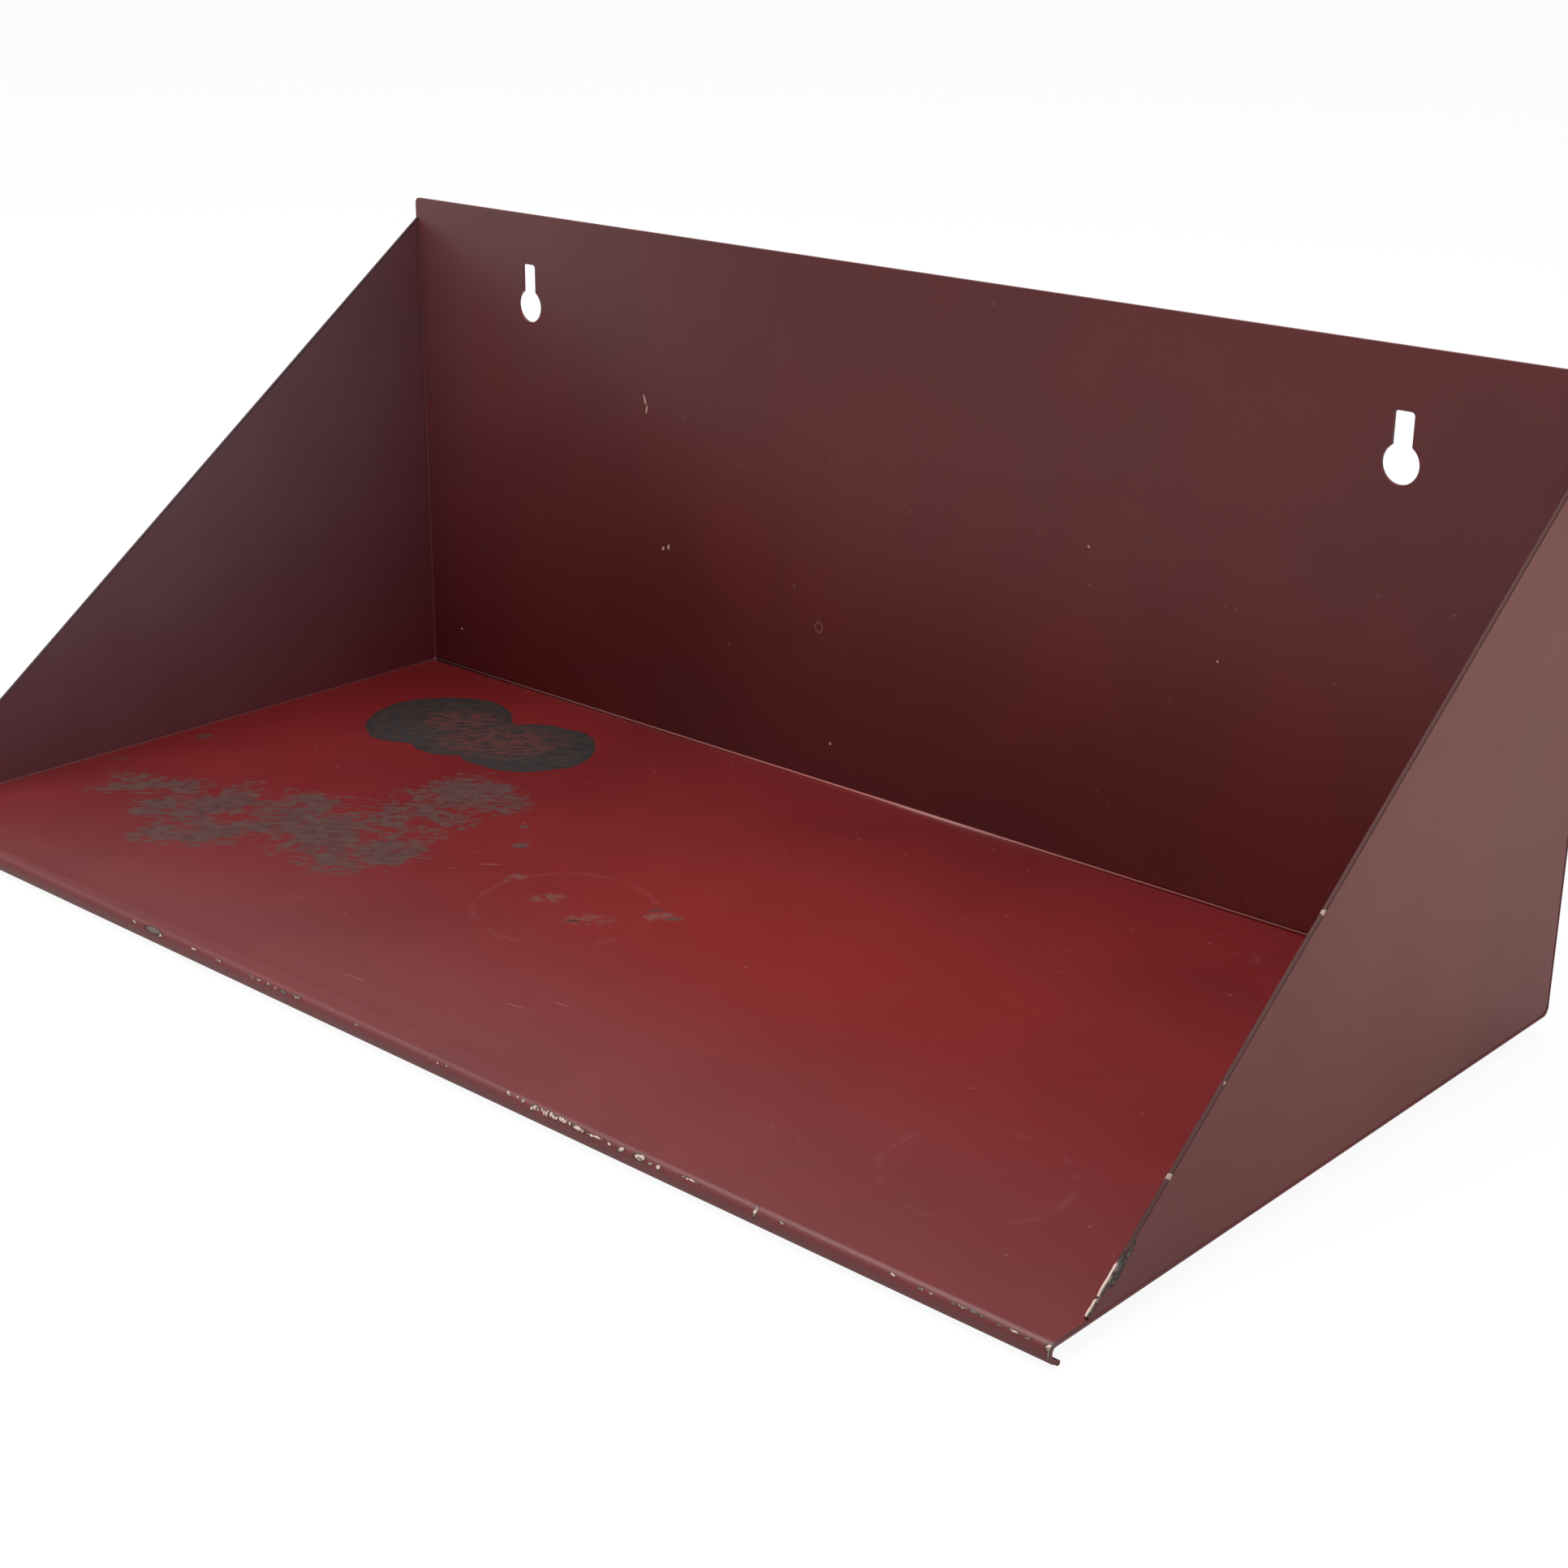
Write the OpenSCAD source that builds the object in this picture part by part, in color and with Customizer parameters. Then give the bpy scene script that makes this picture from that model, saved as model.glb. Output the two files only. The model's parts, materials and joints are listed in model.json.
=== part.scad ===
// Small wall shelf in folded sheet steel.
// One strip is folded into the back, the shelf surface and the front edge, and a
// triangular end plate is welded on the shelf surface at each end. It hangs on two
// screws through keyholes near the top of the back.
// X runs along the shelf, +Y into the wall and +Z up. The origin is on the wall face,
// midway between the centres of the keyholes' round holes.

/* [Overall] */
// Width of the shelf, across both end plates
shelf_w = 400; // [250:1:800]
// Depth from the wall to the front edge
shelf_d = 197; // [100:1:350]
// Height of the back above the shelf surface
back_h = 151; // [90:1:300]

/* [Sheet] */
// Thickness of the folded strip
sheet_t = 1; // [0.6:0.1:2]
// Thickness of the end plates
end_t = 1; // [0.6:0.1:2]
// Inner radius of each fold
bend_r = 1; // [0.4:0.1:3]
// Radius of the two top corners of the back
corner_r = 1.5; // [0.5:0.1:4]

/* [Front edge] */
// Flat height of the front face, between its two folds
front_flat = 0.6; // [0.2:0.1:20]
// Straight length of the lip that returns under the shelf
lip_len = 2.2; // [0.5:0.1:12]
// Angle by which the lip slopes down towards the wall
lip_droop = 30; // [0:1:60]

/* [End plates] */
// Height of the back that stands above the end plates
rim_h = 6; // [1:0.5:30]
// Gap from the front fold to the tip of the left plate
left_tip_gap = 0.5; // [0:0.5:40]
// Gap from the front fold to the tip of the right plate
right_tip_gap = 10; // [0:0.5:40]
// Height of each plate's blunt tip
tip_h = 0.8; // [0.4:0.1:10]
// Clearance between a plate's clipped corner and the rear fold
clip_gap = 0.4; // [0:0.1:2]

/* [Keyholes] */
// Distance from each end of the shelf to its keyhole
key_inset = 51.5; // [15:0.5:110]
// Distance from the top of the back to the centres of the round holes
key_drop = 27.5; // [16:0.5:80]
// Diameter of the round hole, which passes a screw's head
key_d = 10; // [6:0.1:16]
// Width of the slot, which holds a screw's shank
slot_w = 5.4; // [3:0.1:5.9]
// Height of the slot's end above the centre of the round hole
slot_rise = 12.5; // [9:0.1:14]
// Radius of the slot's two top corners
slot_corner_r = 1; // [0.2:0.1:1.4]

/* [Hidden] */
$fn = 64;

bend_out = bend_r + sheet_t;      // outer radius of each fold
surface_z = key_drop - back_h;    // height of the shelf surface
back_y = -sheet_t;                // front face of the back
fold_y = bend_out - shelf_d;      // where the surface turns down into the front fold
inside_h = back_h - rim_h;        // height of an end plate
clip = bend_r + clip_gap;         // size of a plate's clipped corner
key_x = shelf_w / 2 - key_inset;  // each keyhole's distance from the middle
cut = 1;                          // how far a cutter runs past the sheet

// Quarter or less of a fold's cross-section, from angle a to angle b about its centre
module fold(a, b) {
    reach = 2 * bend_out;
    mid = (a + b) / 2;
    intersection() {
        difference() {
            circle(bend_out);
            circle(bend_r);
        }
        polygon([[0, 0], for (k = [a, mid, b]) reach * [cos(k), sin(k)]]);
    }
}

// Lip that returns under the shelf, drawn from the centre of its fold, with a round end
module lip() {
    rotate(-lip_droop) translate([0, -bend_out]) {
        square([lip_len, sheet_t]);
        translate([lip_len, sheet_t / 2]) circle(sheet_t / 2);
    }
}

// Cross-section of the folded strip, with Y to the right, Z up and the surface at 0
module strip_section() {
    low_fold_z = -bend_out - front_flat;
    translate([back_y, bend_r]) square([sheet_t, back_h - bend_r]);
    translate([-bend_out, bend_r]) fold(270, 360);
    translate([fold_y, -sheet_t]) square([-bend_out - fold_y, sheet_t]);
    translate([fold_y, -bend_out]) fold(90, 180);
    translate([-shelf_d, low_fold_z]) square([sheet_t, front_flat]);
    translate([fold_y, low_fold_z]) {
        fold(180, 270 - lip_droop);
        lip();
    }
}

// Stretches a cross-section along X, centred on x, with the shelf surface at its height
module along_x(x, length) {
    translate([x - length / 2, 0, surface_z]) rotate([90, 0, 90]) linear_extrude(length) children();
}

// Cutter for one keyhole, centred on its round hole
module keyhole() {
    half = slot_w / 2;
    depth = sheet_t + 2 * cut;
    translate([0, cut, 0]) rotate([90, 0, 0]) {
        cylinder(d = key_d, h = depth);
        linear_extrude(depth) {
            translate([-half, 0]) square([slot_w, slot_rise - slot_corner_r]);
            translate([slot_corner_r - half, 0]) square([slot_w - 2 * slot_corner_r, slot_rise]);
            for (side = [-1, 1]) {
                translate([side * (half - slot_corner_r), slot_rise - slot_corner_r]) circle(slot_corner_r);
            }
        }
    }
}

// Cutter that rounds one top corner of the back; side is -1 on the left and 1 on the right
module corner_cut(side) {
    depth = sheet_t + 2 * cut;
    translate([side * (shelf_w / 2 - corner_r), cut, key_drop - corner_r]) rotate([90, 0, 0]) difference() {
        translate([side > 0 ? 0 : -corner_r - cut, 0, 0]) cube([corner_r + cut, corner_r + cut, depth]);
        translate([0, 0, -cut]) cylinder(r = corner_r, h = depth + 2 * cut);
    }
}

// Outline of an end plate whose tip stands tip_gap behind the front fold
module plate_outline(tip_gap) {
    tip_y = fold_y + tip_gap;
    polygon([
        [tip_y, 0],
        [back_y - clip, 0],
        [back_y, clip],
        [back_y, inside_h],
        [tip_y, tip_h]
    ]);
}

module folded_shelf() {
    color([0.38, 0.09, 0.09]) difference() {
        along_x(0, shelf_w) strip_section();
        for (side = [-1, 1]) {
            translate([side * key_x, 0, 0]) keyhole();
            corner_cut(side);
        }
    }
}

module left_end_plate() {
    color([0.29, 0.17, 0.18]) along_x((end_t - shelf_w) / 2, end_t) plate_outline(left_tip_gap);
}

module right_end_plate() {
    color([0.43, 0.26, 0.24]) along_x((shelf_w - end_t) / 2, end_t) plate_outline(right_tip_gap);
}

folded_shelf();
left_end_plate();
right_end_plate();
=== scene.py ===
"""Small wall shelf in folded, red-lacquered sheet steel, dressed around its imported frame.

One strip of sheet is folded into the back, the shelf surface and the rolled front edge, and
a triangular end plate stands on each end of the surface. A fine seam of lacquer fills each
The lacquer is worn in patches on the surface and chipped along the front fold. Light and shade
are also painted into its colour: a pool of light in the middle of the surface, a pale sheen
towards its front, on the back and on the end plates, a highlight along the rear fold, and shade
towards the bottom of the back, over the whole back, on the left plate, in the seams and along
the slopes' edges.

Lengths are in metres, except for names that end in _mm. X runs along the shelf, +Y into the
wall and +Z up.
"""

import json
import logging
import math
import random
from dataclasses import dataclass
from enum import Enum
from typing import Callable, Iterable, Optional, Sequence, Union

import bmesh
import bpy
from mathutils import Matrix, Vector


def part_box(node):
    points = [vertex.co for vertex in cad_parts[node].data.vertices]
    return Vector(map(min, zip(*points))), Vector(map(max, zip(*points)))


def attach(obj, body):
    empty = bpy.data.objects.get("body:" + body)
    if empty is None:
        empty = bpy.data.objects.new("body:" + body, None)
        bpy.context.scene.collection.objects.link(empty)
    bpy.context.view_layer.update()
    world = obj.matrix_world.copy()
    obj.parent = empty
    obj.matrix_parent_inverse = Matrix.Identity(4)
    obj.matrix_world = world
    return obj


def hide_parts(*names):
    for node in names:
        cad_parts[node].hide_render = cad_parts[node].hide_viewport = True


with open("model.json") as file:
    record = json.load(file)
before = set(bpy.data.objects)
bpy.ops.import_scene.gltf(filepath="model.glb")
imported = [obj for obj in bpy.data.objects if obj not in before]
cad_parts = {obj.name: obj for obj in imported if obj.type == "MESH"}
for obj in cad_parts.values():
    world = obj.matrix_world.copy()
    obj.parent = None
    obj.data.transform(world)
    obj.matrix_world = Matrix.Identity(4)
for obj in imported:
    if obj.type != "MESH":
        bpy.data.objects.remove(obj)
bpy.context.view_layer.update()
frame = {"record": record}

LOG = logging.getLogger("wall_shelf")
MM = 0.001
BODY = "root"
SHELF_SLOT = "shelf_lacquer"
PLATE_SLOT = "plate_lacquer"
WHITE = (1.0, 1.0, 1.0, 1.0)
TOUCHING = 0.02 * MM
SAME_POINT = 1e-7
EDGE_SEGMENTS = 3

Socket = bpy.types.NodeSocket
Value = Union[Socket, float]
Colour = tuple[float, float, float, float]
Paint = Union[Socket, Colour]


def tone(code: str) -> Colour:
    """Turns a colour written as six hex digits into a linear colour, by the sRGB curve.

    Args:
        code: Red, green and blue, two hex digits each.

    Returns:
        The linear colour, with an alpha of 1.
    """
    parts = [int(code[i:i + 2], 16) / 255 for i in (0, 2, 4)]
    linear = [p / 12.92 if p <= 0.04045 else ((p + 0.055) / 1.055) ** 2.4 for p in parts]
    return (linear[0], linear[1], linear[2], 1.0)


class Side(Enum):
    """The two ends of the shelf, as signs along X."""

    LEFT = -1
    RIGHT = 1

    @property
    def node(self) -> str:
        """Name of this side's end plate in the frame."""
        return f"{self.name.lower()}_end_plate"


class Face(Enum):
    """The faces that carry marks, each with its own flat pair of coordinates."""

    SURFACE = "surface"
    FOLD = "fold"
    BACK = "back"
    PLATE = "plate"
    HIDDEN = "hidden"


# ---------------------------------------------------------------- sizes


@dataclass(frozen=True)
class ShelfSizes:
    """Sizes and places that the pieces share, read from the frame.

    Args:
        left: X of the left end.
        right: X of the right end.
        front: Y of the front face.
        top: Z of the back's top edge.
        surface: Z of the shelf surface.
        plate_top: Z where the end plates meet the back.
        lowest: Z of the lowest point, under the lip.
        sheet: Thickness of the folded strip.
        end_sheet: Thickness of the end plates.
        hole_radius: Radius of the keyholes' round holes.
        hole_x: Distance of each keyhole from the middle.
        bend: Inner radius of each fold.
        front_flat: Flat height of the front face.
        lip_length: Straight length of the lip.
        lip_droop: Angle by which the lip slopes down towards the wall.
        lip_bead: Radius of the lacquer bead on the lip's raw edge.
        corner: Radius of the back's two top corners.
        clip: Size of each plate's clipped rear corner.
        tip_height: Height of each plate's blunt tip.
        slot_width: Width of the keyholes' slots.
        slot_rise: Height of each slot's end above its round hole's centre.
        slot_corner: Radius of the slots' top corners.
        cut_edge: Radius that the lacquer gives to a cut edge.
    """

    left: float
    right: float
    front: float
    top: float
    surface: float
    plate_top: float
    lowest: float
    sheet: float
    end_sheet: float
    hole_radius: float
    hole_x: float
    bend: float = 1.0 * MM
    front_flat: float = 0.6 * MM
    lip_length: float = 2.2 * MM
    lip_droop: float = math.radians(30)
    lip_bead: float = 0.6 * MM
    corner: float = 1.5 * MM
    clip: float = 1.4 * MM
    tip_height: float = 0.8 * MM
    slot_width: float = 5.4 * MM
    slot_rise: float = 12.5 * MM
    slot_corner: float = 1.0 * MM
    cut_edge: float = 0.16 * MM

    @classmethod
    def from_frame(cls) -> "ShelfSizes":
        """Reads the sizes from the frame's boxes and mounts.

        Returns:
            The sizes.
        """
        low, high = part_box("folded_shelf")
        plate_low, plate_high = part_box(Side.LEFT.node)
        mounts = {m["name"]: m for m in frame["record"]["mounts"]}
        keyhole = mounts["keyhole_right"]
        return cls(
            left=low.x, right=high.x, front=low.y, top=high.z,
            surface=plate_low.z, plate_top=plate_high.z, lowest=low.z,
            sheet=keyhole["dims"]["length_mm"] * MM,
            end_sheet=plate_high.x - plate_low.x,
            hole_radius=keyhole["dims"]["r_mm"] * MM,
            hole_x=keyhole["pos_m"][0],
        )

    @property
    def bend_out(self) -> float:
        """Outer radius of each fold."""
        return self.bend + self.sheet

    @property
    def fold_y(self) -> float:
        """Y where the surface turns down into the front fold."""
        return self.front + self.bend_out

    @property
    def back_y(self) -> float:
        """Y of the back's front face."""
        return -self.sheet

    def end_x(self, side: Side) -> float:
        """X of the outer face at one end."""
        return self.right if side is Side.RIGHT else self.left

    def tip_y(self, side: Side) -> float:
        """Y of the tip of one end plate."""
        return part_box(side.node)[0].y


def arc(centre: Vector, radius: float, start: float, stop: float, steps: int) -> list[Vector]:
    """Gives the points of an arc in a plane.

    Args:
        centre: Centre of the arc, as two coordinates.
        radius: Radius of the arc.
        start: First angle, in degrees.
        stop: Last angle, in degrees.
        steps: Number of chords.

    Returns:
        The points from the first angle to the last.
    """
    angles = [math.radians(start + (stop - start) * i / steps) for i in range(steps + 1)]
    return [centre + radius * Vector((math.cos(a), math.sin(a))) for a in angles]


# ---------------------------------------------------------------- mesh tools


def new_object(name: str, data: bpy.types.ID) -> bpy.types.Object:
    """Makes an object at the origin from its data and links it to the scene.

    Args:
        name: Name of the object.
        data: Its mesh, camera or light.

    Returns:
        The object.
    """
    item = bpy.data.objects.new(name, data)
    bpy.context.scene.collection.objects.link(item)
    return item


def from_work(name: str, work: bmesh.types.BMesh) -> bpy.types.Object:
    """Turns a mesh under construction into an object, and frees it.

    Args:
        name: Name of the object and its mesh.
        work: The mesh under construction.

    Returns:
        The object.
    """
    mesh = bpy.data.meshes.new(name)
    work.to_mesh(mesh)
    work.free()
    return new_object(name, mesh)


def discard(item: bpy.types.Object) -> None:
    """Removes a helper object and its mesh.

    Args:
        item: The object.
    """
    mesh = item.data
    bpy.data.objects.remove(item)
    bpy.data.meshes.remove(mesh)


def facing(direction: Vector) -> Matrix:
    """Gives the turn that points a camera or light along a direction."""
    return direction.to_track_quat("-Z", "Y").to_matrix().to_4x4()


def wire(name: str, points: Sequence[Vector], closed: bool) -> bpy.types.Object:
    """Makes a line of edges through some points.

    Args:
        name: Name of the object.
        points: The points, with two or three coordinates.
        closed: Whether the last point joins the first.

    Returns:
        The object.
    """
    count = len(points)
    edges = [(i, (i + 1) % count) for i in range(count if closed else count - 1)]
    mesh = bpy.data.meshes.new(name)
    mesh.from_pydata([Vector(p).to_3d() for p in points], edges, [])
    return new_object(name, mesh)


def prism(outline: Sequence[Vector], plane: Matrix, depth: float, mesh: bmesh.types.BMesh) -> None:
    """Adds a closed prism to a mesh under construction.

    Args:
        outline: Points of its outline, as two coordinates.
        plane: Matrix that takes the outline's plane into the frame.
        depth: Length of the prism along the plane's third axis.
        mesh: The mesh that takes it.
    """
    rings = []
    for level in (0.0, depth):
        rings.append([mesh.verts.new(plane @ Vector((p[0], p[1], level))) for p in outline])
    mesh.faces.new(reversed(rings[0]))
    mesh.faces.new(rings[1])
    count = len(outline)
    for i in range(count):
        after = (i + 1) % count
        mesh.faces.new((rings[0][i], rings[0][after], rings[1][after], rings[1][i]))
    bmesh.ops.recalc_face_normals(mesh, faces=mesh.faces[:])


def bake_modifiers(piece: bpy.types.Object) -> None:
    """Replaces a piece's mesh with what its modifiers make of it, and removes them.

    Args:
        piece: The piece.
    """
    evaluated = piece.evaluated_get(bpy.context.evaluated_depsgraph_get())
    mesh = bpy.data.meshes.new_from_object(evaluated)
    old = piece.data
    piece.modifiers.clear()
    piece.data = mesh
    mesh.name = piece.name
    bpy.data.meshes.remove(old)


def soften(piece: bpy.types.Object, radius: float,
           is_flush: Callable[[bmesh.types.BMEdge], bool]) -> None:
    """Rounds a piece's cut edges and gives its flat faces true normals.

    Args:
        piece: The piece.
        radius: Radius of the rounding.
        is_flush: Tells of an edge whether another piece lies flush against it, and so stays.
    """
    sharp = math.radians(30)
    work = bmesh.new()
    work.from_mesh(piece.data)
    weight = work.edges.layers.float.new("bevel_weight_edge")
    for edge in work.edges:
        if len(edge.link_faces) == 2 and edge.calc_face_angle() > sharp and not is_flush(edge):
            edge[weight] = 1.0
    for face in work.faces:
        face.smooth = True
    work.to_mesh(piece.data)
    work.free()
    bevel = piece.modifiers.new("cut_edges", "BEVEL")
    bevel.limit_method = "WEIGHT"
    bevel.width = radius
    bevel.segments = EDGE_SEGMENTS
    bevel.use_clamp_overlap = True
    bevel.miter_outer = "MITER_ARC"
    normals = piece.modifiers.new("flat_faces", "WEIGHTED_NORMAL")
    normals.mode = "FACE_AREA"
    normals.keep_sharp = False
    bake_modifiers(piece)


# ---------------------------------------------------------------- node tools


class NodeBench:
    """Places nodes in a tree and joins them.

    Args:
        tree: The node tree to work in.
    """

    row_length = 12
    spacing = (180, 260)

    def __init__(self, tree: bpy.types.NodeTree) -> None:
        """Takes the tree, with no node counted yet."""
        self.tree = tree
        self.count = 0

    @classmethod
    def clear(cls, owner: bpy.types.ID) -> "NodeBench":
        """Gives the bench of a material or world, with its nodes cleared away.

        Args:
            owner: The material or world.

        Returns:
            The bench.
        """
        owner.use_nodes = True
        owner.node_tree.nodes.clear()
        return cls(owner.node_tree)

    def place(self, kind: str, **settings: object) -> bpy.types.Node:
        """Adds a node and sets its properties.

        Args:
            kind: Type of the node.
            settings: Its properties, by name.

        Returns:
            The node.
        """
        node = self.tree.nodes.new(kind)
        row, column = divmod(self.count, self.row_length)
        node.location = (column * self.spacing[0], -row * self.spacing[1])
        self.count += 1
        for name, value in settings.items():
            setattr(node, name, value)
        return node

    def feed(self, socket: Socket, value: object) -> None:
        """Links a socket to another one, or sets its own value.

        Args:
            socket: The socket.
            value: What it takes; nothing is done for None.
        """
        if isinstance(value, bpy.types.NodeSocket):
            self.tree.links.new(value, socket)
        elif value is not None:
            socket.default_value = value

    def math(self, operation: str, *values: Value, clamp: bool = False) -> Socket:
        """Works out one number from one, two or three.

        Args:
            operation: What the node does.
            values: The numbers.
            clamp: Whether the result is held between 0 and 1.

        Returns:
            The number.
        """
        node = self.place("ShaderNodeMath", operation=operation, use_clamp=clamp)
        for socket, value in zip(node.inputs, values):
            self.feed(socket, value)
        return node.outputs[0]

    def vector(self, operation: str, *values: object) -> Socket:
        """Works out one vector from others; Length and Dot Product give a number.

        Args:
            operation: What the node does.
            values: The vectors.

        Returns:
            The vector or number.
        """
        node = self.place("ShaderNodeVectorMath", operation=operation)
        for socket, value in zip(node.inputs, values):
            self.feed(socket, value)
        return node.outputs["Value" if operation in ("LENGTH", "DOT_PRODUCT") else "Vector"]

    def blend(self, factor: Value, first: object, second: object) -> Socket:
        """Mixes two colours.

        Args:
            factor: Share of the second colour.
            first: The first colour.
            second: The second colour.

        Returns:
            The mixed colour.
        """
        node = self.place("ShaderNodeMix", data_type="RGBA", clamp_factor=True)
        for index, value in ((0, factor), (6, first), (7, second)):
            self.feed(node.inputs[index], value)
        return node.outputs[2]

    def ease(self, value: Value, start: Value, stop: Value) -> Socket:
        """Maps a number smoothly from a range to 0 to 1, with its ends held.

        Args:
            value: The number.
            start: Where the result is 0.
            stop: Where the result is 1.

        Returns:
            The result.
        """
        node = self.place("ShaderNodeMapRange", interpolation_type="SMOOTHSTEP")
        for index, item in enumerate((value, start, stop)):
            self.feed(node.inputs[index], item)
        return node.outputs[0]

    def noise(self, where: Socket, scale: Value, detail: float = 2.0, rough: float = 0.5,
              as_vector: bool = False) -> Socket:
        """Adds a noise texture that gives a number, or a vector of three numbers.

        Args:
            where: Where the noise is read.
            scale: Its scale.
            detail: Its number of finer layers.
            rough: Strength of those layers.
            as_vector: Whether it gives a vector.

        Returns:
            The number or vector.
        """
        node = self.place("ShaderNodeTexNoise", noise_dimensions="3D", normalize=True)
        self.feed(node.inputs["Vector"], where)
        self.feed(node.inputs["Scale"], scale)
        node.inputs["Detail"].default_value = detail
        node.inputs["Roughness"].default_value = rough
        return node.outputs[1 if as_vector else 0]

    def seen_apart(self, felt: Socket, seen: Socket) -> Socket:
        """Joins two shaders: the first is what lights the shelf, the second what the camera sees.

        Args:
            felt: The first shader.
            seen: The second shader.

        Returns:
            The joined shader.
        """
        mix = self.place("ShaderNodeMixShader")
        self.feed(mix.inputs[0], self.place("ShaderNodeLightPath").outputs["Is Camera Ray"])
        self.feed(mix.inputs[1], felt)
        self.feed(mix.inputs[2], seen)
        return mix.outputs[0]

    def group(self, tree: bpy.types.NodeTree, **inputs: object) -> bpy.types.Node:
        """Places a node group; an input's name has underscores for its spaces.

        Args:
            tree: The group's tree.
            inputs: What its inputs take, by name.

        Returns:
            The group node.
        """
        node = self.place("ShaderNodeGroup", node_tree=tree)
        for name, value in inputs.items():
            self.feed(node.inputs[name.replace("_", " ").capitalize()], value)
        return node

    def highest(self, values: Iterable[Value]) -> Value:
        """Gives the highest of several numbers, or 0 where there are none.

        Args:
            values: The numbers.

        Returns:
            The highest.
        """
        best: Value = 0.0
        for index, value in enumerate(values):
            best = value if index == 0 else self.math("MAXIMUM", best, value)
        return best


class ShaderEffect:
    """A shader node group that is built once and used by several finishes."""

    name: str = ""
    inputs: tuple[tuple[str, str, object], ...] = ()
    outputs: tuple[tuple[str, str], ...] = ()

    @classmethod
    def tree(cls) -> bpy.types.NodeTree:
        """Gives the group's tree, and builds it the first time.

        Returns:
            The tree.
        """
        found = bpy.data.node_groups.get(cls.name)
        if found:
            return found
        tree = bpy.data.node_groups.new(cls.name, "ShaderNodeTree")
        for name, kind, value in cls.inputs:
            socket = tree.interface.new_socket(name, in_out="INPUT", socket_type=f"NodeSocket{kind}")
            socket.default_value = value
        for name, kind in cls.outputs:
            tree.interface.new_socket(name, in_out="OUTPUT", socket_type=f"NodeSocket{kind}")
        bench = NodeBench(tree)
        source = bench.place("NodeGroupInput")
        sink = bench.place("NodeGroupOutput")
        for name, value in cls.wire_up(bench, source.outputs).items():
            bench.feed(sink.inputs[name], value)
        return tree

    @classmethod
    def wire_up(cls, bench: NodeBench, given: bpy.types.NodeOutputs) -> dict[str, Socket]:
        """Builds the group's inside.

        Args:
            bench: Where the nodes go.
            given: The group's inputs.

        Returns:
            What each output gives, by name.
        """
        raise NotImplementedError


class OvalReach(ShaderEffect):
    """How far from an oval's middle a point is: 0 at the middle, 1 on the outline."""

    name = "oval_reach"
    inputs = (
        ("Place", "Vector", (0, 0, 0)),
        ("Middle", "Vector", (0, 0, 0)),
        ("Half size", "Vector", (0.01, 0.01, 1)),
        ("Turn", "Vector", (0, 0, 0)),
    )
    outputs = (("Reach", "Float"),)

    @classmethod
    def wire_up(cls, bench: NodeBench, given: bpy.types.NodeOutputs) -> dict[str, Socket]:
        """Takes the place into the oval's own frame, where the oval is a circle.

        Args:
            bench: Where the nodes go.
            given: The group's inputs.

        Returns:
            What each output gives, by name.
        """
        own = bench.place("ShaderNodeMapping", vector_type="TEXTURE")
        pairs = (("Vector", "Place"), ("Location", "Middle"), ("Rotation", "Turn"), ("Scale", "Half size"))
        for name, source in pairs:
            bench.feed(own.inputs[name], given[source])
        return {"Reach": bench.vector("LENGTH", own.outputs[0])}


class LacquerTone(ShaderEffect):
    """The lacquer's slow drifts of colour and gloss, and its fine grain."""

    name = "lacquer_tone"
    inputs = (
        ("Place", "Vector", (0, 0, 0)),
        ("Deep", "Color", (0.1, 0, 0, 1)),
        ("Light", "Color", (0.2, 0, 0, 1)),
        ("Cloud scale", "Float", 14.0),
        ("Roughness", "Float", 0.4),
        ("Drift", "Float", 0.06),
    )
    outputs = (("Color", "Color"), ("Roughness", "Float"))
    cloud_edges = (0.32, 0.68)
    grain_scale = 1500.0
    grain_share = 0.5
    gloss_scale = 60.0

    @classmethod
    def wire_up(cls, bench: NodeBench, given: bpy.types.NodeOutputs) -> dict[str, Socket]:
        """Mixes the two tones by clouds and grain.

        Args:
            bench: Where the nodes go.
            given: The group's inputs.

        Returns:
            What each output gives, by name.
        """
        clouds = bench.noise(given["Place"], given["Cloud scale"], 2.0, 0.6)
        grain = bench.noise(given["Place"], cls.grain_scale, 0.0)
        fine = bench.math("MULTIPLY_ADD", grain, cls.grain_share, -cls.grain_share / 2)
        share = bench.math("ADD", bench.ease(clouds, *cls.cloud_edges), fine)
        gloss = bench.noise(given["Place"], cls.gloss_scale, 1.0, 0.6)
        shift = bench.math("MULTIPLY", bench.math("SUBTRACT", gloss, 0.5), given["Drift"])
        return {
            "Color": bench.blend(share, given["Deep"], given["Light"]),
            "Roughness": bench.math("ADD", given["Roughness"], shift),
        }


class LacquerSkin(ShaderEffect):
    """The height of the lacquer's skin: slow waves in the sheet and fine orange peel."""

    name = "lacquer_skin"
    inputs = (
        ("Place", "Vector", (0, 0, 0)),
        ("Wave height", "Float", 0.1 * MM),
        ("Peel height", "Float", 0.002 * MM),
    )
    outputs = (("Height", "Float"),)
    wave_scale = 9.0
    peel_scale = 420.0

    @classmethod
    def wire_up(cls, bench: NodeBench, given: bpy.types.NodeOutputs) -> dict[str, Socket]:
        """Adds the two heights.

        Args:
            bench: Where the nodes go.
            given: The group's inputs.

        Returns:
            What each output gives, by name.
        """
        wave = bench.noise(given["Place"], cls.wave_scale, 0.0)
        peel = bench.noise(given["Place"], cls.peel_scale, 0.0)
        height = bench.math("MULTIPLY", wave, given["Wave height"])
        return {"Height": bench.math("MULTIPLY_ADD", peel, given["Peel height"], height)}


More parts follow.
